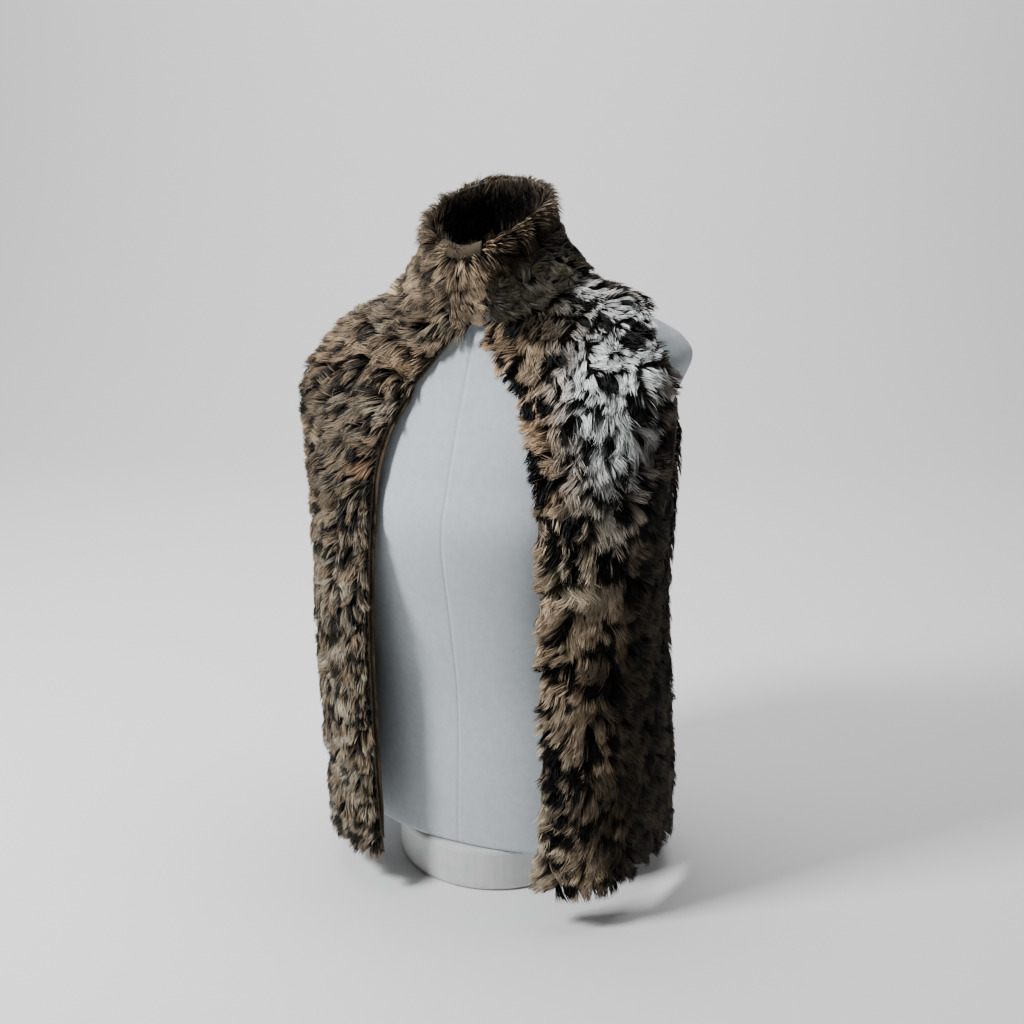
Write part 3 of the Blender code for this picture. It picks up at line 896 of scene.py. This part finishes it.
def left_front_dye_and_painted_light(tips, shares, ups, random):
    """White with a painted highlight over the chest, tan along the front edge, painted shade under the
    collar, darker fur and painted shade at the side, with bold spots.
    """
    angles, heights = around(tips)
    cloud = waves(tips, 0.05, random)
    colours = ground_tone(len(tips), 0.45 + 0.6 * cloud)
    edge = np.exp(-(shares / 0.26) ** 2)
    warm = 1.1 * edge * smooth_step(0.16, 0.36, heights) * (0.8 + 0.5 * cloud)
    colours = blend(colours, LIGHT_TAN, warm)
    colours = blend(colours, TAN, 0.35 * edge * smooth_step(0.0, 0.8, cloud))
    chest = 60.0 + 15.0 * smooth_step(0.50, 0.59, heights)
    # Pale fur over the chest, whitened further by a painted highlight
    colours = add_patch(colours, angles, heights, CHEST_WHITE_AND_HIGHLIGHT, 1.6, chest, 0.512, 12.0, 0.095)
    colours = blend(colours, CREAM, 0.6 * edge * (1.0 - smooth_step(0.18, 0.34, heights)))
    colours = add_patch(colours, angles, heights, *LEFT_CREAM_PATCH)
    # Painted shade below the collar
    colours = add_patch(colours, angles, heights, *LEFT_COLLAR_PAINTED_SHADE)
    # Darker fur and painted shade at the side, which is turned from the key
    side = 57.0 + 20.0 * smooth_step(0.24, 0.48, heights) + 12.0 * smooth_step(0.52, 0.58, heights)
    colours = blend(colours, OLIVE_AND_PAINTED_SHADE, 0.95 * smooth_step(-8.0, 8.0, angles - side + 5.0 * cloud))
    u, v = on_print(tips)
    wobble = waves(tips, 0.018, random) * 0.0020
    size = 1.22 - 0.08 * smooth_step(0.38, 0.46, heights)
    spots = print_spots(0.36, 0.66, PITCH, np.random.default_rng(LEFT_PRINT_SEED))
    return blend(colours, DARK, spot_amount(u + wobble, v - wobble, spots, size))


def right_front_dye(tips, shares, ups, random):
    """Grey-brown and beige streaks with small dark dashes and a few warm tufts."""
    angles, heights = around(tips)
    cloud = waves(tips, 0.024, random)
    colours = ground_tone(len(tips), 0.50 + 0.9 * cloud)
    low = 1.0 - smooth_step(0.26, 0.40, heights)
    streak = np.exp(-((shares - 0.2) / 0.24) ** 2)
    colours = blend(colours, CREAM, (0.25 + 0.65 * low) * streak * (0.7 + cloud))
    for tufts in RIGHT_PATCHES:
        colours = add_patch(colours, angles, heights, *tufts)
    u, v = on_print(tips)
    wobble = waves(tips, 0.012, random) * 0.0034
    spots = print_spots(0.50, 0.92, PITCH, random)
    dark = spot_amount(-u / 0.72 + wobble, v / 0.72 - wobble, spots, 1.16)
    return blend(colours * 0.62, DARK, dark * 0.95)


def back_dye_and_painted_shade(tips, shares, ups, random):
    """Beige and grey-brown with dark spots all over, with darker fur and painted shade at the left side,
    turned from the key.
    """
    shared = np.random.default_rng(BACK_PRINT_SEED)
    angles = around(tips)[0]
    cloud = waves(tips, 0.06, shared)
    colours = ground_tone(len(tips), 0.45 + 0.6 * cloud)
    colours = blend(colours, CREAM, 0.50 * smooth_step(0.1, 0.9, -cloud))
    colours = blend(colours, LIGHT_TAN, 0.40 * smooth_step(0.2, 0.9, cloud))
    # Darker fur and painted shade at the wearer's left side, turned from the key
    side = (1.0 - smooth_step(96.0, 130.0, np.abs(angles))) * (angles > 0.0)
    colours = blend(colours, OLIVE_AND_PAINTED_SHADE, 0.90 * side)
    wobble = waves(tips, 0.018, shared) * 0.0020
    u = np.arctan2(tips[:, 0], tips[:, 1]) * PRINT_RADIUS + 0.30
    spots = print_spots(0.62, 0.66, BACK_PITCH, shared)
    dark = spot_amount(u + wobble, tips[:, 2] - wobble, spots, 1.15)
    return blend(colours, DARK, dark * 0.97)


def collar_dye_and_painted_shade(tips, shares, ups, random):
    """Grey-beige curls on the right, painted shade over the left side, paler at the rim, with dark
    flecks.
    """
    cloud = waves(tips, 0.026, random)
    colours = ground_tone(len(tips), 0.50 + 0.8 * cloud)
    # Painted shade over the collar's left side, turned from the light, with less of it up at the rim
    shade = 1.15 * smooth_step(0.60, 0.80, shares) * (1.0 - 0.75 * smooth_step(0.78, 0.98, ups))
    colours = blend(colours, OLIVE_AND_PAINTED_SHADE, shade + 0.15 * cloud)
    rim = smooth_step(0.95, 1.0, shares) * smooth_step(0.72, 0.90, ups)
    colours = blend(colours, LIGHT_TAN, 0.8 * rim)
    spots = print_spots(0.60, 0.30, PITCH, random)
    dark = spot_amount(shares * COLLAR_FLAT[0], ups * 0.15, spots, 0.80)
    return blend(colours, DARK, dark * 0.80)


def collar_inside_painted_shade(tips, shares, ups, random):
    """Painted shade inside the collar: nearly black, greyer at the rim where light reaches."""
    # Painted shade: the inside gets a nearly black tone that lifts to grey-brown towards the rim
    colours = np.tile(DARK, (len(tips), 1))
    rim = smooth_step(0.72, 1.0, ups)
    return blend(colours, GREY_BROWN, 0.8 * rim + 0.3 * rim * waves(tips, 0.02, random))


def right_front_nap(ground, shares, ups):
    """Down and out to the side, more so over the shoulder, and over the front edge."""
    high = smooth_step(0.36, 0.50, ground[:, 2])
    edge = np.exp(-shares / 0.12)
    return -0.35 - 0.95 * high + 0.9 * edge, 1.0 - 0.35 * high


def left_front_nap(ground, shares, ups):
    """Parted along the middle of the panel."""
    return 0.80 * np.tanh((shares - 0.42) / 0.20), np.ones(len(ground))


def along_armhole(ups):
    """One along the armhole, none below and above it."""
    return smooth_step(*ARMHOLE_STARTS, ups) * (1.0 - smooth_step(*ARMHOLE_ENDS, ups))


def hem_trim(ups):
    """How much of the pile's length is left towards the hem."""
    return HEM_TRIM + (1.0 - HEM_TRIM) * smooth_step(0.0, 0.10, ups)


def front_trim(shares, ups):
    """How much of the pile's length is left along the front edge, round the armhole and at the hem."""
    inside = np.maximum(smooth_step(0.0, 0.16, shares), smooth_step(0.80, 0.92, ups))
    front = FRONT_TRIM + (1.0 - FRONT_TRIM) * inside
    armhole = 1.0 - (1.0 - ARMHOLE_TRIM) * smooth_step(0.76, 1.0, shares) * along_armhole(ups)
    return front * armhole * hem_trim(ups)


def left_front_trim(shares, ups):
    """The same, and shorter curls over the chest."""
    upper = smooth_step(0.60, 0.72, ups) * (1.0 - smooth_step(0.94, 1.0, ups))
    chest = smooth_step(0.20, 0.40, shares) * upper
    return front_trim(shares, ups) * (1.0 - (1.0 - CHEST_TRIM) * chest)


def back_trim(shares, ups):
    """How much of the pile's length is left round the armholes and at the hem."""
    border = 1.0 - smooth_step(0.0, 0.10, np.minimum(shares, 1.0 - shares))
    return (1.0 - (1.0 - BACK_ARMHOLE_TRIM) * border * along_armhole(ups)) * hem_trim(ups)


def collar_trim(shares, ups):
    """How much of the pile's length is left at the collar's rim."""
    return 1.0 - (1.0 - RIM_TRIM) * smooth_step(0.88, 1.0, ups)


def fronts_clear(shares, ups):
    """Whether hairs root clear of the armhole's border."""
    return (shares < ARMHOLE_CLEAR) | (along_armhole(ups) < 0.5)


def everywhere(shares, ups):
    """Hairs root all over."""
    return np.full(len(shares), True)


def back_nap(ground, shares, ups):
    """Down."""
    return 0.35 * np.sin(9.0 * shares + 14.0 * ups), np.ones(len(ground))


def collar_nap(ground, shares, ups):
    """Down and away from where the ends meet."""
    turn = np.radians(COLLAR_OPENING_ANGLE - 360.0 * shares)
    lean = np.sin(turn)
    return 0.9 * np.sign(lean) * np.sqrt(np.abs(lean)), np.full(len(ground), 0.85)


def collar_inside_nap(ground, shares, ups):
    """Up towards the rim."""
    return 0.25 * np.sin(30.0 * shares), -np.ones(len(ground))


def clear_of_tab(shares, ups):
    """Whether hairs root outside the tab on the collar's right front end."""
    return (shares > TAB_SHARE * TAB_CLEAR_SHARE) | (ups < TAB_CLEAR_UP)


def principled(name, roughness):
    """New material with its node tree and shader."""
    material = bpy.data.materials.new(name)
    material.use_nodes = True
    nodes = material.node_tree.nodes
    shader = nodes["Principled BSDF"]
    shader.inputs["Roughness"].default_value = roughness
    return material, nodes, material.node_tree.links, shader


def noise(nodes, links, place, scale, detail=2.0):
    """Noise of a scale over an object's own places."""
    node = nodes.new("ShaderNodeTexNoise")
    node.inputs["Scale"].default_value = scale
    node.inputs["Detail"].default_value = detail
    links.new(place.outputs["Object"], node.inputs["Vector"])
    return node


def two_tones(nodes, links, amount, dark, light, low, high):
    """Colour that goes from a dark to a light tone between two amounts."""
    node = nodes.new("ShaderNodeValToRGB")
    for element, position, tone in zip(node.color_ramp.elements, (low, high), (dark, light)):
        element.position = position
        element.color = (*tone, 1.0)
    links.new(amount, node.inputs["Fac"])
    return node


def relief(nodes, links, shader, height, strength, depth):
    """Fine relief of a surface."""
    node = nodes.new("ShaderNodeBump")
    node.inputs["Strength"].default_value = strength
    node.inputs["Distance"].default_value = depth
    links.new(height, node.inputs["Height"])
    links.new(node.outputs["Normal"], shader.inputs["Normal"])


def fur_material(name):
    """Dyed hair: its colour, with painted shade and a painted highlight in it, is stored on the mesh, and
    its gloss is low and broad.
    """
    material, nodes, links, shader = principled(name, 0.52)
    dye = nodes.new("ShaderNodeAttribute")
    dye.attribute_name = "dye"
    links.new(dye.outputs["Color"], shader.inputs["Base Color"])
    shader.inputs["Specular IOR Level"].default_value = 0.16
    return material


def weave_material(name, weave):
    """Plain-woven cloth with slubs and a slow change of tone."""
    material, nodes, links, shader = principled(name, weave.roughness)
    place = nodes.new("ShaderNodeTexCoord")
    cross = nodes.new("ShaderNodeMath")
    cross.operation = "MULTIPLY"
    for number, bands in enumerate("XY"):
        threads = nodes.new("ShaderNodeTexWave")
        threads.bands_direction = bands
        threads.inputs["Scale"].default_value = 1.0 / weave.pitch / WAVE_BANDS
        threads.inputs["Distortion"].default_value = 0.6
        threads.inputs["Detail"].default_value = 2.0
        links.new(place.outputs["UV"], threads.inputs["Vector"])
        links.new(threads.outputs["Fac"], cross.inputs[number])
    slubs = noise(nodes, links, place, 160.0, 5.0)
    slow = noise(nodes, links, place, 9.0)
    total = nodes.new("ShaderNodeMath")
    total.operation = "MULTIPLY_ADD"
    total.inputs[1].default_value = 0.35
    links.new(cross.outputs[0], total.inputs[0])
    links.new(slubs.outputs["Fac"], total.inputs[2])
    ramp = two_tones(nodes, links, total.outputs[0], weave.dark, weave.colour, 0.30, 0.85)
    tint = nodes.new("ShaderNodeMix")
    tint.data_type = "RGBA"
    tint.blend_type = "MULTIPLY"
    tint.inputs[7].default_value = (*weave.cloud, 1.0)
    links.new(slow.outputs["Fac"], tint.inputs[0])
    links.new(ramp.outputs["Color"], tint.inputs[6])
    links.new(tint.outputs[2], shader.inputs["Base Color"])
    relief(nodes, links, shader, total.outputs[0], 0.5, weave.depth)
    shader.inputs["Specular IOR Level"].default_value = 0.25
    return material


def lacquer_material():
    """Pale enamel with a faint orange peel and a little wear."""
    material, nodes, links, shader = principled("foot_enamel", 0.4)
    place = nodes.new("ShaderNodeTexCoord")
    peel = noise(nodes, links, place, 60.0, 4.0).outputs["Fac"]
    ramp = two_tones(nodes, links, peel, ENAMEL_DARK, ENAMEL_LIGHT, 0.35, 0.70)
    links.new(ramp.outputs["Color"], shader.inputs["Base Color"])
    relief(nodes, links, shader, peel, 0.15, 0.0004)
    return material


def dress(item, material):
    """Gives an object one material."""
    item.data.materials.clear()
    item.data.materials.append(material)


def chart_by_place(item):
    """Chart of an upright piece in metres: the way round it, and its height."""
    mesh = item.data
    places = np.empty(len(mesh.vertices) * 3)
    mesh.vertices.foreach_get("co", places)
    places = places.reshape(-1, 3)
    corners = np.empty(len(mesh.loops), np.int32)
    mesh.loops.foreach_get("vertex_index", corners)
    x, y, z = places[corners].T
    around_it = np.arctan2(x, -y) * CHART_RADIUS
    chart = np.stack([around_it, z], -1)
    mesh.uv_layers.new(name="threads").uv.foreach_set("vector", chart.reshape(-1).astype(np.float32))


def add_torso():
    """Smooth cloth-covered torso with a centre-front and centre-back seam."""
    beside_seams = [np.array(SEAM_TURNS) + seam for seam in (0.0, 180.0)]
    turns = np.concatenate([np.arange(0.0, 360.0, TORSO_TURN), *beside_seams])
    turns = np.unique(np.round(turns % 360.0, 3))
    above = np.linspace(TORSO_START_LEVEL, len(TORSO_ROWS) - 1, TORSO_RINGS)
    levels = np.concatenate([BASE_LEVELS, above])[:, None]
    angles = np.radians(turns)[None, :]
    rise, half_width, front, back = np.moveaxis(table_at(TORSO_ROWS, levels + 0.0 * angles), -1, 0)
    off_seam = (turns[None, :] + 90.0) % 180.0 - 90.0
    low = np.minimum(rise / BASE_ROUND, 1.0)
    rounded = BASE_ROUND * (1.0 - np.sqrt(1.0 - (1.0 - low) ** 2))
    inset = rounded + SEAM_DEPTH * np.exp(-off_seam ** 2 / SEAM_WIDTH ** 2)
    lift = left_lift(CAP_LIFT, 0.0, CAP_LIFT_LEVELS, levels, half_width, angles)
    points = ring_points(half_width - inset, front - inset, back - inset, rise + lift, angles)
    rings, count = points.shape[:2]
    index = np.arange(rings * count).reshape(rings, count)
    after = np.roll(index, -1, axis=1)
    quads = np.stack([index[:-1], after[:-1], after[1:], index[1:]], -1).reshape(-1, 4)
    faces = [*quads, index[0][::-1], index[-1]]
    torso = new_mesh("torso_cover", points, faces)
    chart_by_place(torso)
    finish_piece(torso, weave_material("form_cloth", FORM_CLOTH), "form_torso")


def add_facing():
    """Turned strip along the right front edge, its own edge showing past the fur."""
    panel = Panel(right_front_angles)
    ups = np.linspace(*FACING_UPS, FACING_POINTS)
    start = panel.points(0.0, ups)
    end = panel.points(FACING_SHARE, ups)
    normals = panel.axes(0.0, ups)[0]
    along = np.linspace(0.0, 1.0, len(ups))
    taper = smooth_step(0.0, FACING_TAPER, along) * (1.0 - smooth_step(1.0 - FACING_TAPER, 1.0, along))
    away = unit(start - end) * taper[:, None]
    front = []
    back = []
    for out, drop in FACING_ACROSS:
        place = start - away * (out * FACING_SHOWS)
        front.append(place - normals * (2.0 * SEAM_GAP + drop * FACING_WALL * 0.5))
        back.append(place - normals * (2.0 * SEAM_GAP + FACING_WALL - drop * FACING_WALL * 0.5))
    strip = wall_between("front_facing", np.stack(back, 1), np.stack(front, 1))
    return strip, (start, away, normals)


def add_stitches(edge):
    """Slanted overlock stitches wrapped round the facing's edge, as one joined mesh."""
    start, away, normals = edge
    length = np.linalg.norm(np.diff(start, axis=0), axis=1)
    along = np.concatenate([[0.0], np.cumsum(length)])
    middle = np.arange(STITCH_MARGIN, along[-1] - STITCH_MARGIN, STITCH_PITCH)

    def at(values, where):
        """Values along the edge."""
        return np.stack([np.interp(where, along, values[:, axis]) for axis in range(3)], -1)

    rings = []
    for out, lift, ahead in STITCH_PATH:
        where = middle + ahead * STITCH_LEAN
        point = at(start, where) + at(away, where) * (out * FACING_SHOWS)
        rings.append(point + at(normals, where) * (lift * 0.5 * FACING_WALL - 2.0 * SEAM_GAP))
    rings = np.stack(rings, 1)
    heading = unit(np.gradient(rings, axis=1))
    side = unit(np.cross(heading, at(away, middle)[:, None, :] + 0.3 * at(normals, middle)[:, None, :]))
    other = np.cross(heading, side)
    turns = 2.0 * math.pi * np.arange(STITCH_SIDES) / STITCH_SIDES
    circle = side[:, :, None, :] * np.cos(turns)[:, None] + other[:, :, None, :] * np.sin(turns)[:, None]
    points = rings[:, :, None, :] + STITCH_RADIUS * circle
    index = np.arange(points[..., 0].size).reshape(points.shape[:3])
    faces = []
    for stitch in index:
        after = np.roll(stitch, -1, axis=1)
        quads = np.stack([stitch[:-1], after[:-1], after[1:], stitch[1:]], -1)
        faces += [*quads.reshape(-1, 4), stitch[0], stitch[-1]]
    return new_mesh("facing_stitches", points, faces)


def add_tab():
    """Plain strip folded over the rim of the collar's right front end."""
    collar = Collar(True)
    shares = np.linspace(0.0, TAB_SHARE, TAB_POINTS)
    top = collar.points(shares, 1.0)
    below = collar.points(shares, TAB_BELOW)
    up = unit(top - below)
    across = unit(np.gradient(top, axis=0))
    outward = unit(np.cross(up, across))
    inner = []
    outer = []
    for turn in np.radians(np.linspace(-TAB_ARC, TAB_ARC, TAB_ARC_POINTS)):
        flat = TAB_REACH * math.sin(turn)
        high = TAB_RISE * (math.cos(turn) - TAB_SINK)
        place = top + outward * flat + up * high
        aim = outward * math.sin(turn) + up * math.cos(turn)
        inner.append(place)
        outer.append(place + aim * TAB_WALL)
    return wall_between("rim_tab", np.stack(inner, 1), np.stack(outer, 1))


def add_edging():
    """Facing strip, its stitches and the collar's tab."""
    twill = weave_material("facing_twill", TWILL)
    thread = weave_material("stitch_thread", THREAD)
    facing, edge = add_facing()
    stitches = add_stitches(edge)
    tab = add_tab()
    for piece, material, node in (
        (facing, twill, "right_front_facing"),
        (stitches, thread, "right_front_facing"),
        (tab, twill, "collar_tab"),
    ):
        chart_by_place(piece)
        finish_piece(piece, material, node)
    return facing, stitches, tab


def finish_piece(piece, material, node):
    """Gives a piece its material, ties it to the body and hides the node that it stands for."""
    dress(piece, material)
    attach(piece, BODY)
    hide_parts(node)


def add_cloth(name, surface, limits, grid, wall, knit, node):
    """Knit backing of a panel or of the collar."""
    cloth = backing_of(name, surface, limits, *grid, wall)
    chart_by_place(cloth)
    finish_piece(cloth, knit, node)
    return cloth


def panel_jobs():
    """The three panels, each with its coat and the pieces that its pile is grown in."""
    right = Coat(right_front_nap, right_front_dye, fronts_clear, front_trim)
    left = Coat(left_front_nap, left_front_dye_and_painted_light, fronts_clear, left_front_trim)
    back = Coat(back_nap, back_dye_and_painted_shade, everywhere, back_trim)
    return (
        Job("right_front", right_front_angles, 0.0, FRONT_COLUMNS, FRONT_FLAT, right,
            (("right_front_fur", WHOLE, RIGHT_FRONT_HAIRS, RIGHT_FRONT_SEED),)),
        Job("left_front", left_front_angles, EDGE_INSET, FRONT_COLUMNS, FRONT_FLAT, left,
            (("left_front_fur", (EDGE_INSET, 1.0), LEFT_FRONT_HAIRS, LEFT_FRONT_SEED),)),
        Job("back", back_angles, 0.0, BACK_COLUMNS, BACK_FLAT, back,
            (("back_fur_left", (0.0, 0.5), BACK_HALF_HAIRS, BACK_SEEDS[0]),
             ("back_fur_right", (0.5, 1.0), BACK_HALF_HAIRS, BACK_SEEDS[1]))),
    )


def add_panel(job, fur, knit):
    """One panel: its knit and its pile."""
    node = job.name + "_panel"
    surface = Panel(job.angles_at)
    tucked = ((job.start, 1.0), (HEM_INSET, NECK_TUCK))
    grid = (PANEL_ROWS, job.columns)
    cloth = add_cloth(job.name + "_backing", surface, tucked, grid, BACKING, knit, node)
    for name, span, hairs, seed in job.furs:
        limits = (span, (HEM_INSET, 1.0))
        hair = grow(name, surface, hairs, limits, job.coat, PILE, np.random.default_rng(seed))
        finish_piece(hair, fur, node)


def add_collar(fur, knit):
    """The collar: its knit and its pile on both sides."""
    outer = Collar(True)
    limits = (WHOLE, WHOLE)
    grid = (COLLAR_ROWS, COLLAR_COLUMNS)
    cloth = add_cloth("collar_backing", outer, limits, grid, COLLAR_BACKING, knit, "collar")
    for name, surface, hairs, seed, nap, dye in (
        ("collar_fur_outside", outer, COLLAR_HAIRS, COLLAR_SEED, collar_nap, collar_dye_and_painted_shade),
        ("collar_fur_inside", Collar(False), COLLAR_INSIDE_HAIRS, COLLAR_INSIDE_SEED,
         collar_inside_nap, collar_inside_painted_shade),
    ):
        coat = Coat(nap, dye, clear_of_tab, collar_trim)
        hair = grow(name, surface, hairs, limits, coat, COLLAR_PILE, np.random.default_rng(seed))
        finish_piece(hair, fur, "collar")


def add_camera():
    """Camera at the photograph's viewing angle."""
    turn = math.radians(CAMERA_AZIMUTH)
    tip = math.radians(CAMERA_ELEVATION)
    back = Vector((math.sin(turn) * math.cos(tip), -math.cos(turn) * math.cos(tip), math.sin(tip)))
    right = Vector((math.cos(turn), math.sin(turn), 0.0))
    camera = link(bpy.data.objects.new("camera", bpy.data.cameras.new("camera")))
    camera.location = right * CAMERA_ACROSS + Vector((0.0, 0.0, CAMERA_HEIGHT)) + back * CAMERA_DISTANCE
    camera.rotation_mode = "QUATERNION"
    roll = Quaternion((0.0, 0.0, 1.0), math.radians(CAMERA_ROLL))
    camera.rotation_quaternion = back.to_track_quat("Z", "Y") @ roll
    camera.data.sensor_width = SENSOR
    camera.data.lens = SENSOR * CAMERA_SCALE * CAMERA_DISTANCE / IMAGE_SIDE
    bpy.context.scene.camera = camera
    return back


def add_light(name, place, aim, size, power, colour):
    """Square soft light."""
    lamp = bpy.data.lights.new(name, "AREA")
    lamp.size = size
    lamp.energy = power
    lamp.color = colour
    item = link(bpy.data.objects.new(name, lamp))
    item.location = place
    item.rotation_mode = "QUATERNION"
    item.rotation_quaternion = (Vector(place) - Vector(aim)).to_track_quat("Z", "Y")


def add_floor(back):
    """Pale floor that sweeps up into a backdrop behind the object."""
    away = Vector((-back.x, -back.y, 0.0)).normalized()
    across = Vector((away.y, -away.x, 0.0))
    profile = [(-SWEEP_NEAR, 0.0), (0.0, 0.0)]
    for turn in np.radians(np.linspace(0.0, 90.0, 25)):
        profile.append((SWEEP_FAR + SWEEP_ROUND * math.sin(turn), SWEEP_ROUND * (1.0 - math.cos(turn))))
    profile.append((SWEEP_FAR + SWEEP_ROUND, SWEEP_HEIGHT))
    points = []
    for side in (-SWEEP_HALF_WIDTH, SWEEP_HALF_WIDTH):
        for far, high in profile:
            points.append(away * far + across * side + Vector((0.0, 0.0, high - FLOOR_DROP)))
    count = len(profile)
    faces = [(i, i + 1, i + 1 + count, i + count) for i in range(count - 1)]
    floor = new_mesh("floor", points, faces)
    material, _, _, shader = principled("floor", 0.9)
    shader.inputs["Base Color"].default_value = FLOOR_TONE
    dress(floor, material)
    return away


def aside(turn, tip, distance):
    """Place of a lamp: degrees from the front towards the wearer's left, degrees up, metres away."""
    turn = math.radians(turn)
    tip = math.radians(tip)
    flat = distance * math.cos(tip)
    return AIM + Vector((flat * math.sin(turn), -flat * math.cos(turn), distance * math.sin(tip)))


def add_studio(back):
    """Pale sweep, a soft key from the wearer's right, a weak fill and a lamp on the backdrop."""
    away = add_floor(back)
    for name, turn, tip, distance, size, power, colour in LAMPS:
        add_light(name, aside(turn, tip, distance), AIM, size, power, colour)
    lamp = away * BACKDROP_LAMP_AWAY + Vector((0.0, 0.0, BACKDROP_LAMP_HEIGHT))
    aim = away * (SWEEP_FAR + SWEEP_ROUND) + Vector((0.0, 0.0, BACKDROP_AIM_HEIGHT))
    add_light("backdrop", lamp, aim, BACKDROP_LAMP_SIZE, BACKDROP_LAMP_POWER, (1.0, 1.0, 1.0))
    world = bpy.data.worlds.new("studio")
    world.use_nodes = True
    sky = world.node_tree.nodes["Background"]
    sky.inputs["Color"].default_value = SKY_TONE
    sky.inputs["Strength"].default_value = SKY_STRENGTH
    bpy.context.scene.world = world


def main():
    """Builds the camera, the studio and the pieces."""
    back = add_camera()
    add_studio(back)
    dress(bpy.data.objects["form_foot"], lacquer_material())
    add_torso()
    fur = fur_material("long_pile")
    knit = weave_material("backing_knit", KNIT)
    facing, stitches, tab = add_edging()
    for job in panel_jobs():
        add_panel(job, fur, knit)
    add_collar(fur, knit)


main()
